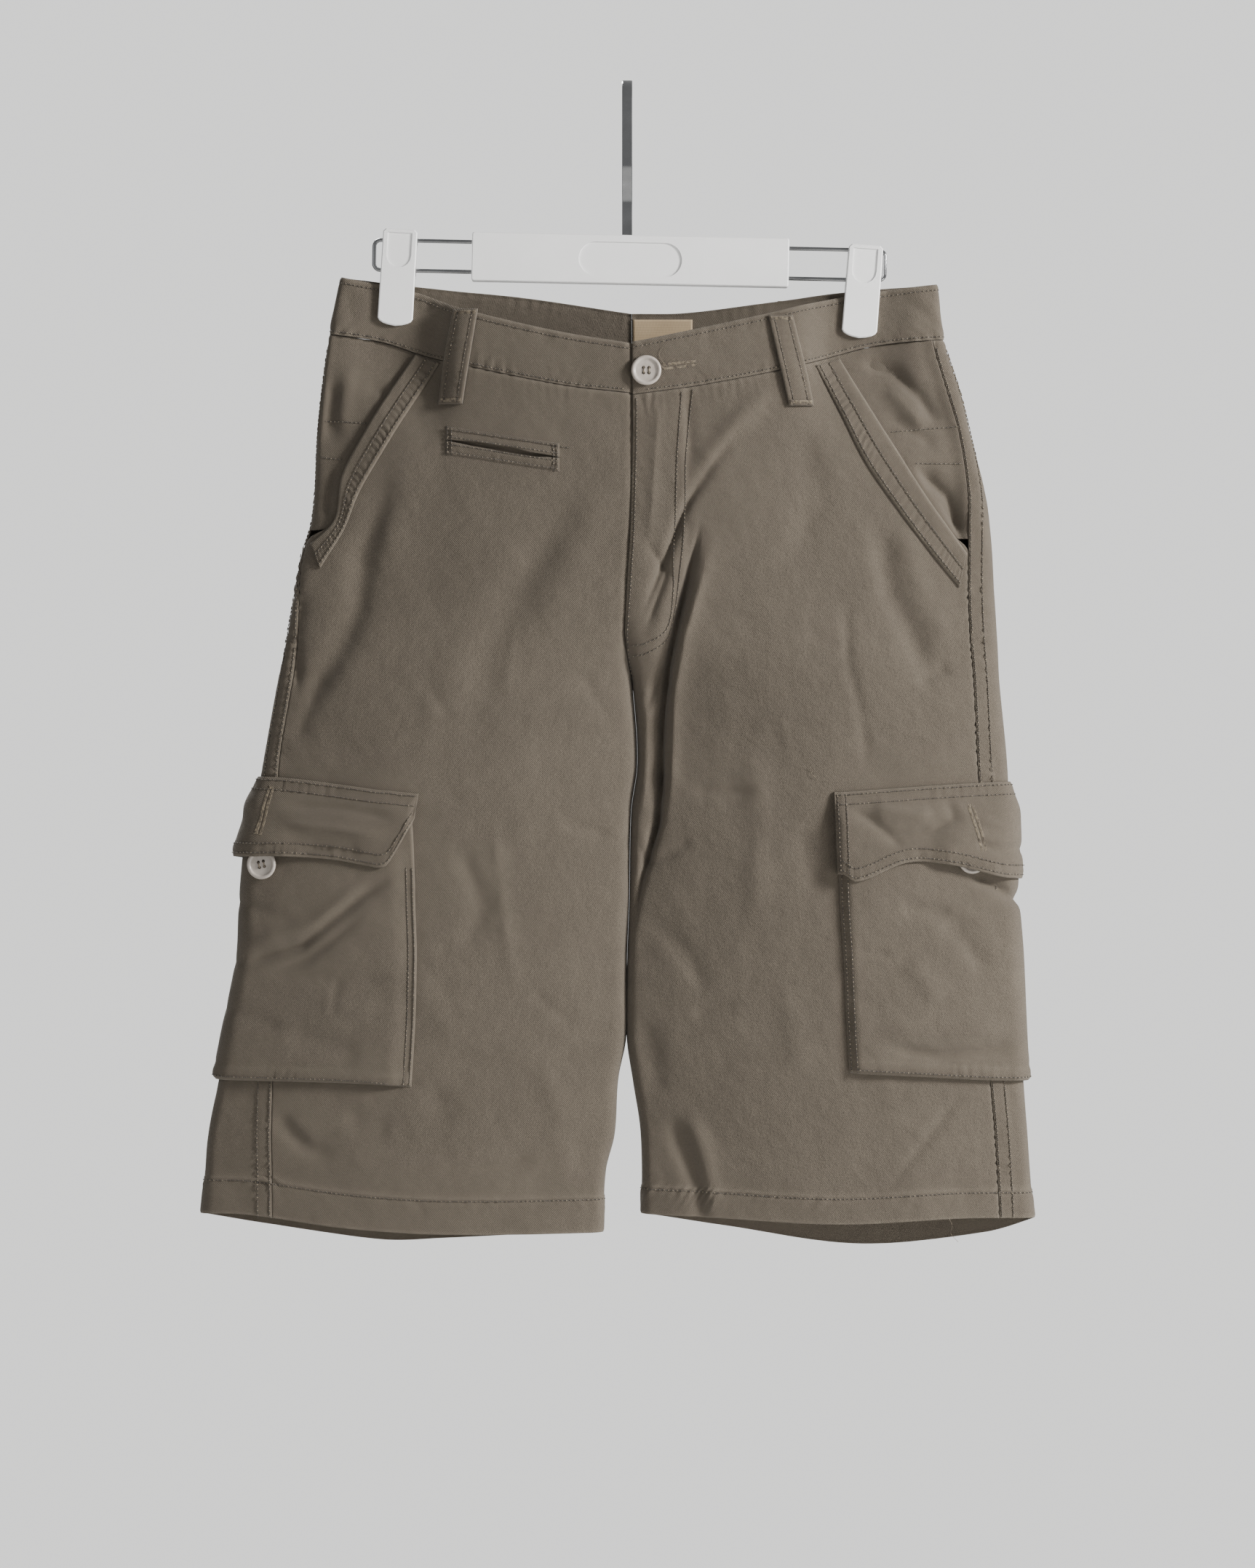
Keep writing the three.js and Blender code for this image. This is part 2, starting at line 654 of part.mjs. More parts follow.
// How much further forward than the usual length a cargo pocket's front border lies at a height.
const pocketForward = {
  left: table("z extra", [[-505, -3], [-555, 0], [-600, 2.6], [-650, 11], [-690, 16]]),
  right: table("z extra", [[-505, 4], [-600, 5.5], [-690, 5]]),
};

// A cargo pocket stands off the leg like a shallow tray, open at the top.
function cargoPocket(side) {
  const seam = section(side, -600).seam;
  const lengths = pocketLengths(seam + POCKET_FRONT, seam - POCKET_BACK);
  const heights = [POCKET_TOP, -530, -555, -580, -610, -640, -665];
  const columns = lengths.length + 2;
  const rows = heights.length + 2;
  const net = (inside) => (i, j) => {
    const inset = inside ? PANEL_WALL : 0;
    const foot = i === 0 || i === columns - 1 || j === rows - 1;
    const first = lengths[0] - inset;
    const last = lengths.at(-1) + inset;
    const length = clamp(lengths[clamp(i - 1, 0, lengths.length - 1)], last, first);
    const bottom = read(pocketBottom[side], length).z + inset;
    const z = j < heights.length ? heights[j] : bottom;
    const middle = Math.sin((Math.PI * (i + 1)) / (columns + 1));
    const puff = mix(POCKET_PUFF - 1, POCKET_PUFF, middle) - inset;
    const share = clamp((length - seam) / POCKET_FRONT, 0, 1);
    const forward = read(pocketForward[side], z).extra * share;
    return clothPoint(side, length + forward, z, foot ? (1.5 + share) * GAP : puff);
  };
  return wall(columns, rows, net(false), net(true));
}

const cargoButtons = table("name side x z", [
  ["cargo_button_left", "left", -248, -536.5],
  ["cargo_button_right", "right", 234, -532.5],
]);

// A cargo flap is sewn along its top edge, runs down over the pocket and bulges over the button.
const FLAP_BULGE = 4;
const FLAP_FORWARD = { left: 0, right: 5 };
function cargoFlap(side) {
  const seam = section(side, -500).seam;
  const front = seam + POCKET_FRONT + FLAP_OVERHANG + FLAP_FORWARD[side];
  const lengths = pocketLengths(front, seam - POCKET_BACK - FLAP_OVERHANG);
  lengths.splice(1, 0, mix(lengths[0], lengths[1], 0.4));
  const button = cargoButtons.find((row) => row.side === side);
  const rows = 8;
  const net = (extra) => (i, j) => {
    const edges = read(flapEdges[side], lengths[i]);
    const z = mix(edges.top, edges.bottom, j / (rows - 1));
    const point = facePoint(side, lengths[i], z);
    const near = lengths[i] > 0 ? Math.hypot(point.x - button.x, z - button.z) : Infinity;
    const bulge = FLAP_BULGE * smooth((34 - near) / 20);
    const drop = smooth((edges.top - z) / FLAP_RISE);
    const lift = mix(2 * GAP, FLAP_LIFT + bulge, drop);
    return clothPoint(side, lengths[i], z, lift + extra);
  };
  return wall(lengths.length, rows, net(FLAP_WALL), net(0));
}

// A four-hole button: a dished disc with a raised rim.
function buttonShape() {
  const profile = [
    [0, 0], [BUTTON_RADIUS - 1.2, 0], [BUTTON_RADIUS, 1], [BUTTON_RADIUS, 2], [BUTTON_RADIUS - 0.8, 2.9],
    [BUTTON_RADIUS - BUTTON_RIM * 0.6, BUTTON_HEIGHT], [BUTTON_RADIUS - BUTTON_RIM, 2.4],
    [BUTTON_RADIUS - BUTTON_RIM - 0.9, 1.8], [0, 1.7],
  ].map(([r, y]) => new THREE.Vector2(r, y));
  let disc = solid(facingOut(mergeVertices(plain(new THREE.LatheGeometry(profile, 16)), 1e-4)));
  for (let i = 0; i < 4; i += 1) {
    const angle = Math.PI * (0.25 + 0.5 * i);
    const hole = new THREE.CylinderGeometry(BUTTON_HOLE, BUTTON_HOLE, 4 * BUTTON_HEIGHT, 6);
    hole.translate(BUTTON_HOLE_RING * Math.cos(angle), 0, BUTTON_HOLE_RING * Math.sin(angle));
    disc = disc.subtract(solid(hole));
  }
  return shapeOf(disc);
}
function plain(geometry) {
  geometry.deleteAttribute("normal");
  geometry.deleteAttribute("uv");
  return geometry;
}

// Sews a button on the cloth, its back a gap away from what it lies on.
function sewButton(name, side, x, z, lift) {
  const at = clothPointAt(side, "front", x, z, lift);
  const out = clothPointAt(side, "front", x, z, lift + 1).sub(at);
  const mesh = piece(name, buttonShape(), "button");
  mesh.quaternion.setFromUnitVectors(new THREE.Vector3(0, 1, 0), out.normalize());
  mesh.position.copy(at);
}

for (const side of ["left", "right"]) {
  piece("front_" + side, panelFront(side), "cloth");
  piece("back_" + side, panelBack(side), "cloth");
  piece("waistband_" + side, waistband(side), "cloth");
  piece("pocket_facing_" + side, pocketFacing(side), "cloth");
  piece("pocket_band_" + side, pocketBand(side), "cloth");
  piece("cargo_pocket_" + side, cargoPocket(side), "cloth");
  piece("cargo_flap_" + side, cargoFlap(side), "cloth");
}
for (const loop of beltLoops) piece(loop.name, beltLoop(loop), "cloth");
piece("coin_lip_upper", coinLip(true), "cloth");
piece("coin_lip_lower", coinLip(false), "cloth");
piece("label", labelPatch(), "label");
sewButton("waist_button", "right", 13, -200, BAND_PROUD + FLY_PROUD + GAP);
for (const row of cargoButtons) {
  sewButton(row.name, row.side, row.x, row.z, POCKET_PUFF + GAP);
}

// The hanger: a hook and a bar, two bent wires, and two clips that slide on them.
const hanger = new THREE.Group();
hanger.position.set(BAR.x, 0, BAR.z);
hanger.rotation.y = THREE.MathUtils.degToRad(BAR.tilt);
part.add(hanger);

function roundedPlate(width, height, radius) {
  const shape = new THREE.Shape();
  const [x, z] = [width / 2, height / 2];
  shape.moveTo(-x + radius, -z);
  shape.absarc(x - radius, -z + radius, radius, -Math.PI / 2, 0);
  shape.absarc(x - radius, z - radius, radius, 0, Math.PI / 2);
  shape.absarc(-x + radius, z - radius, radius, Math.PI / 2, Math.PI);
  shape.absarc(-x + radius, -z + radius, radius, Math.PI, 1.5 * Math.PI);
  return shape;
}

// A shape drawn in X and Z, given thickness along Y and centred on it.
function plateOf(shape, thick, options = {}) {
  const bevel = options.bevel ?? 0;
  const geometry = new THREE.ExtrudeGeometry(shape, {
    depth: thick - 2 * bevel,
    bevelEnabled: bevel > 0,
    bevelThickness: bevel,
    bevelSize: bevel,
    bevelOffset: -bevel,
    bevelSegments: 1,
    curveSegments: options.segments ?? 4,
  });
  geometry.translate(0, 0, bevel - thick / 2);
  geometry.rotateX(Math.PI / 2);
  return geometry;
}

function barShape() {
  const body = solid(plateOf(roundedPlate(BAR.length, BAR.height, 1.5), BAR.thick, { bevel: 0.6 }));
  const pocket = plateOf(roundedPlate(BAR_RECESS.length, BAR_RECESS.height, BAR_RECESS.height / 2 - 0.01), 4);
  pocket.translate(0, -BAR.thick / 2 - 2 + BAR_RECESS.deep, 0);
  return shapeOf(body.subtract(solid(pocket)));
}
piece("hanger_bar", barShape(), "plastic", hanger);

// A wire leaves the bar's end, turns back at two rounded corners and returns below.
function wireShape(side) {
  const way = SIGN[side];
  const start = way * (BAR.length / 2 + GAP);
  const end = way * WIRE_END[side];
  const turn = end - way * WIRE.corner;
  const path = new THREE.CurvePath();
  const at = (x, z) => new THREE.Vector3(x, 0, z);
  const { spread, corner } = WIRE;
  path.add(new THREE.LineCurve3(at(start, spread), at(turn, spread)));
  path.add(new THREE.QuadraticBezierCurve3(at(turn, spread), at(end, spread), at(end, spread - corner)));
  path.add(new THREE.LineCurve3(at(end, spread - corner), at(end, corner - spread)));
  path.add(new THREE.QuadraticBezierCurve3(at(end, corner - spread), at(end, -spread), at(turn, -spread)));
  path.add(new THREE.LineCurve3(at(turn, -spread), at(start, -spread)));
  const round = new THREE.Shape();
  for (let i = 0; i < 6; i += 1) {
    const angle = (i * Math.PI) / 3;
    const to = [WIRE.radius * Math.cos(angle), WIRE.radius * Math.sin(angle)];
    if (i === 0) round.moveTo(...to);
    else round.lineTo(...to);
  }
  return new THREE.ExtrudeGeometry(round, { steps: 32, extrudePath: path });
}
for (const side of ["left", "right"]) piece("wire_" + side, wireShape(side), "chrome", hanger);

// The hook is a flat strap: over the rail, down in front of it, then back to the middle plane.
function hookShape() {
  const radius = HOOK_INSIDE + HOOK_THICK / 2;
  const centre = -HOOK_INSIDE;
  const line = [];
  for (let angle = HOOK_TIP_ANGLE; angle <= 180; angle += 13.4375) {
    const turn = THREE.MathUtils.degToRad(angle);
    line.push(new THREE.Vector2(radius * Math.cos(turn), centre + radius * Math.sin(turn)));
  }
  line.push(new THREE.Vector2(-radius, HOOK_STRAIGHT));
  for (let i = 1; i <= 8; i += 1) {
    line.push(new THREE.Vector2(-radius * (1 - smooth(i / 8)), mix(HOOK_STRAIGHT, HOOK_NECK, i / 8)));
  }
  line.push(new THREE.Vector2(0, BAR.z + BAR.height / 2 + GAP));
  const offset = (way) =>
    line.map((p, i) => {
      const run = line[Math.min(i + 1, line.length - 1)].clone().sub(line[Math.max(i - 1, 0)]);
      run.normalize().multiplyScalar((way * HOOK_THICK) / 2);
      return new THREE.Vector2(p.x - run.y, p.y + run.x);
    });
  const outline = new THREE.Shape([...offset(1), ...offset(-1).reverse()]);
  const geometry = new THREE.ExtrudeGeometry(outline, { depth: HOOK_WIDTH, bevelEnabled: false });
  geometry.translate(0, 0, -HOOK_WIDTH / 2);
  geometry.rotateY(Math.PI / 2);
  geometry.rotateX(Math.PI / 2);
  return geometry;
}
piece("hanger_hook", hookShape(), "chrome", part);

// A clip: a front and a back jaw joined by a block between the wires, with a thumb hollow in front.
const clips = table("side x z tilt up tall", [
  ["left", -156.5, -118.1, 3.4, 17.5, 66.5],
  ["right", 163, -124.7, 4.6, 13.2, 64],
]);
function clipShape(up, tall, jawInside) {
  const outline = new THREE.Shape();
  const w = CLIP.width / 2;
  outline.moveTo(-w + 2, up);
  outline.lineTo(w - 2, up);
  outline.lineTo(w, up - 2);
  outline.lineTo(w + 0.3, up - tall + 5);
  outline.quadraticCurveTo(w - 1, up - tall + 1, 0, up - tall);
  outline.quadraticCurveTo(1 - w, up - tall + 1, -w - 0.3, up - tall + 5);
  outline.lineTo(-w, up - 2);
  const thick = jawInside + CLIP.thick;
  let made = solid(plateOf(outline, 2 * thick, { bevel: 0.7 }));
  const hollow = (height, z) => {
    const box = new THREE.BoxGeometry(60, 2 * jawInside, height);
    box.translate(0, 0, z);
    return solid(box);
  };
  made = made.subtract(hollow(tall, -CLIP.block - tall / 2));
  made = made.subtract(hollow(20, CLIP.block + 10));
  const thumb = new THREE.Shape();
  const r = CLIP.recessWide / 2;
  const top = up - 2.5;
  thumb.moveTo(-r, top);
  thumb.lineTo(-r, top - CLIP.recessTall + r);
  thumb.absarc(0, top - CLIP.recessTall + r, r, Math.PI, 2 * Math.PI);
  thumb.lineTo(r, top);
  const press = plateOf(thumb, 4);
  press.translate(0, -thick - 2 + CLIP.recessDeep, 0);
  return shapeOf(made.subtract(solid(press)));
}
for (const clip of clips) {
  const jawInside = PINCH_DEPTH + BAND_PROUD + GAP;
  const mesh = piece("clip_" + clip.side, clipShape(clip.up, clip.tall, jawInside), "plastic", part);
  mesh.position.set(clip.x, 0, clip.z);
  mesh.rotation.y = THREE.MathUtils.degToRad(clip.tilt);
}

export default part;
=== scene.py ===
import math

import bmesh
import bpy
import numpy as np
from mathutils import Matrix, Vector


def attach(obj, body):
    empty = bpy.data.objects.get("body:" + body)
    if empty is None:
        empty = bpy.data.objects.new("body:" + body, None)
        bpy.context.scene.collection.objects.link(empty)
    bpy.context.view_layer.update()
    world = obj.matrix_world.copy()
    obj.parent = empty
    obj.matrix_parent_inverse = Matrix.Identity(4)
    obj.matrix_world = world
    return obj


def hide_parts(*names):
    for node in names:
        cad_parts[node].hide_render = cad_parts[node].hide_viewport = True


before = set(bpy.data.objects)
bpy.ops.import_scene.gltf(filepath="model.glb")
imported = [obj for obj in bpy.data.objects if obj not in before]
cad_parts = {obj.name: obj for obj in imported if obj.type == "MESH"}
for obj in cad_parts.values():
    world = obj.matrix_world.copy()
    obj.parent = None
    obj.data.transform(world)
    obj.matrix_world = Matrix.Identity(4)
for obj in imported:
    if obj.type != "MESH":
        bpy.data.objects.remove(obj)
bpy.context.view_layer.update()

bl_info = {
    "name": "Cargo shorts on a clip hanger",
    "version": (1, 0, 0),
    "blender": (4, 5, 0),
    "location": "3D View > Sidebar > Shorts",
    "description": "Sews the cloth, fastenings and hanger of a pair of cargo shorts over the packed model",
    "category": "Object",
}

# Everything below is in millimetres until a mesh is made. "left" and "right" are the viewer's.
MM = 0.001
SIGN = {"left": -1.0, "right": 1.0}
SIDES = ("left", "right")
# The gap at a seam, the thickness of each kind of cloth, and how far the waistband stands out.
GAP = 0.3
PANEL_WALL = 1.2
BAND_WALL = 2.0
BAND_PROUD = 0.5
STRIP_WALL = 1.2
FLAP_WALL = 1.8
# How deep a slant pocket's facing lies, and how far it runs in under the front.
FACING_DROP = 1.9
FACING_TUCK = 14.0
# The fly on the right front, and how far the left front runs on under it.
FLY_PROUD = 0.9
FLY_WIDTH = 36.0
FLY_BOTTOM = -388.0
UNDERLAP = 7.0
# Where each clip pinches front and back together, how far out, how flat and over which heights.
CLIP_OUT = {"left": 157.0, "right": 160.0}
PINCH_DEPTH = 2.2
PINCH_REACH = 34.0
PINCH_FULL = -180.0
PINCH_GONE = -262.0
# The cargo pockets and flaps, which reach in front of the side seam and behind it.
POCKET_FRONT = 93.0
POCKET_BACK = 95.0
POCKET_PUFF = 4.9
POCKET_TOP = -505.0
FLAP_LIFT = 6.2
FLAP_OVERHANG = 3.0
FLAP_RISE = 22.0
FLAP_BULGE = 4.0
LOOP_WIDTH = 16.5
HEM_TALL = {"left": 25.0, "right": 19.5}
# How much deeper creases are made than their tables say, on the legs, the cargo pockets and a facing.
CREASE_GAIN = 1.25
CARGO_GAIN = 2.1
FACING_GAIN = 1.6
# Heights at which the cloth is measured for the cargo pockets, their flaps, the hem and the waistband.
POCKET_LEVEL = -600.0
FLAP_LEVEL = -500.0
HEM_LEVEL = -770.0
WAIST_LEVEL = {"front": -190.0, "back": -175.0}
# Where rows of stitches start or end: side seam, seat seam, fly seam, and the pockets under their flaps.
SIDE_SEAM_TOP = -184.0
SEAT_SEAM = (-202.0, -405.0)
SEAT_FELL_END = -420.0
FLY_SEAM = (-220.0, -408.0)
UNDER_FLAP = -540.0

# One row for each height: the side edge and the inner edge, out from the middle plane, the depth of
# front and back, the radius of the folded edge, how far the section has become a leg, and how far
# the side seam lies in front of the side edge.
SECTION = "z outer inner front back edge leg seam"
SECTIONS = {
    "left": (SECTION, [
        (-130, 196, -3, 18, 6, 4, 0, 0),
        (-173, 204.5, -3.2, 22, 9, 4.5, 0, 0),
        (-232, 212, -3.8, 25, 15, 6, 0, 0),
        (-300, 216.5, -2.8, 27, 21, 8, 0, 0),
        (-330, 225, -0.6, 27, 23, 9, 0, 5.7),
        (-360, 230, 0.6, 26.5, 24, 9.5, 0.12, 9.2),
        (-385, 234.5, 1, 26, 25, 10, 0.42, 13.5),
        (-413, 240.5, -3.5, 25, 25, 10, 1, 16.4),
        (-466, 250, -7, 24, 24, 10, 1, 17.5),
        (-501, 256, -2.7, 24, 24, 10, 1, 23),
        (-560, 262, -1.5, 24, 24, 10, 1, 29),
        (-600, 264, 0, 24, 24, 10, 1, 32),
        (-655, 275, 0.5, 23, 23, 10, 1, 39),
        (-684, 280.5, 6, 22, 23, 10, 1, 44.2),
        (-722, 288, 8.5, 22, 23, 9, 1, 50.2),
        (-747, 290, 14.5, 21, 22, 9, 1, 52.8),
        (-789, 294, 16.6, 21, 22, 9, 1, 57.2),
        (-806, 295, 17, 21, 22, 9, 1, 58.2),
    ]),
    "right": (SECTION, [
        (-130, 212.5, 3, 18, 6, 4, 0, 11),
        (-178, 218, 3.2, 22, 9, 4.5, 0, 11),
        (-212, 229, 3.6, 24, 13, 5.5, 0, 13),
        (-240, 235.5, 3.8, 25, 16, 6.5, 0, 12),
        (-281, 246, 2.9, 26, 19, 7.5, 0, 17),
        (-311, 250, 2, 27, 21, 8, 0, 21),
        (-352, 252.5, -0.4, 26.5, 24, 9, 0.08, 24.3),
        (-385, 254.5, -1, 26, 25, 10, 0.42, 25.5),
        (-413, 256, 3.58, 25, 25, 10, 1, 25),
        (-466, 261, 7.08, 24, 24, 10, 1, 27.5),
        (-501, 262.5, 2.78, 24, 24, 10, 1, 27),
        (-560, 265, 1.58, 24, 24, 10, 1, 28),
        (-600, 268, 0.08, 24, 24, 10, 1, 29),
        (-655, 270.5, -0.35, 23, 23, 10, 1, 29.5),
        (-686, 272.5, 4, 22, 23, 10, 1, 30),
        (-719, 275, 9, 22, 23, 9, 1, 29),
        (-761, 278, 10, 21, 22, 9, 1, 29.5),
        (-806, 283, 8.5, 21, 22, 9, 1, 33),
    ]),
}

# Heights of the edges that run across, by the share of the way from the side edge to the middle.
EDGE = "share z"
BAND_TOP = {
    ("left", "front"): (EDGE, [(0, -133), (0.28, -144), (0.42, -155), (0.75, -172), (1, -181)]),
    ("left", "back"): (EDGE, [(0, -133), (0.28, -140), (0.63, -146.5), (1, -157.5)]),
    ("right", "front"): (EDGE, [(0, -138), (0.32, -147), (0.58, -160.5), (0.95, -178), (1, -180)]),
    ("right", "back"): (EDGE, [(0, -138), (0.33, -144), (0.56, -150), (0.83, -157), (1, -157.5)]),
}
WAIST_SEAM = {
    ("left", "front"): (EDGE, [(0, -172), (0.19, -178), (0.38, -190.5), (0.76, -208.5), (1, -215)]),
    ("left", "back"): (EDGE, [(0, -172), (0.28, -179), (0.63, -186), (1, -197)]),
    ("right", "front"): (EDGE, [(0, -176), (0.25, -181), (0.52, -197), (0.8, -209.5), (1, -216)]),
    ("right", "back"): (EDGE, [(0, -176), (0.33, -183), (0.56, -189), (1, -197)]),
}
HEM = {
    ("left", "front"): (EDGE, [(0, -776), (0.13, -776), (0.38, -785), (0.6, -789), (1, -789)]),
    ("left", "back"): (EDGE, [(0, -776), (0.17, -785), (0.45, -797), (0.6, -796), (1, -789)]),
    ("right", "front"): (EDGE, [(0, -779), (0.2, -778.5), (0.5, -782), (0.8, -778), (1, -776)]),
    ("right", "back"): (EDGE, [(0, -779), (0.14, -791), (0.45, -800), (0.77, -787), (1, -776)]),
}

# The slant pocket: how far out its mouth and the inner edge of its band lie at each step down.
SLANT = {
    "left": ("step mouth mouth_z band band_z", [
        (0, 145.5, -187, 128, -193),
        (1, 163, -213, 149.5, -225.5),
        (2, 180, -241, 166.5, -253.5),
        (3, 195, -270, 183, -281.5),
        (4, 200, -300, 194, -308),
        (5, 216.5, -317, 210, -334),
    ]),
    "right": ("step mouth mouth_z band band_z", [
        (0, 146, -190, 129, -195),
        (1, 161, -215, 146, -228),
        (2, 176.5, -240.5, 163, -262),
        (3, 202, -281, 188, -298),
        (4, 219, -305, 208, -324),
        (5, 232.5, -323.5, 227, -347),
    ]),
}
SLANT_END = {"left": -317.0, "right": -323.5}

# Cargo flaps and pockets: where their edges lie, by length along the cloth from the side edge.
FLAP_EDGES = {
    "left": ("along top bottom", [
        (-80, -479, -536), (-30, -477, -535), (20, -477, -531), (65, -482, -533),
        (92, -485.6, -537.5), (99, -486, -538.5), (105, -486.8, -535), (122.5, -488.4, -497),
        (124, -488.5, -494),
    ]),
    "right": ("along top bottom", [
        (-80, -481, -545), (-30, -480, -546), (10, -480, -546), (50, -482, -537),
        (80, -484, -535), (115, -486.5, -548), (124, -487, -543),
    ]),
}
POCKET_BOTTOM = {
    "left": ("along z", [(-80, -684), (40, -684.5), (100, -686), (124, -688)]),
    "right": ("along z", [(-80, -686), (20, -684.5), (80, -681), (124, -678.5)]),
}

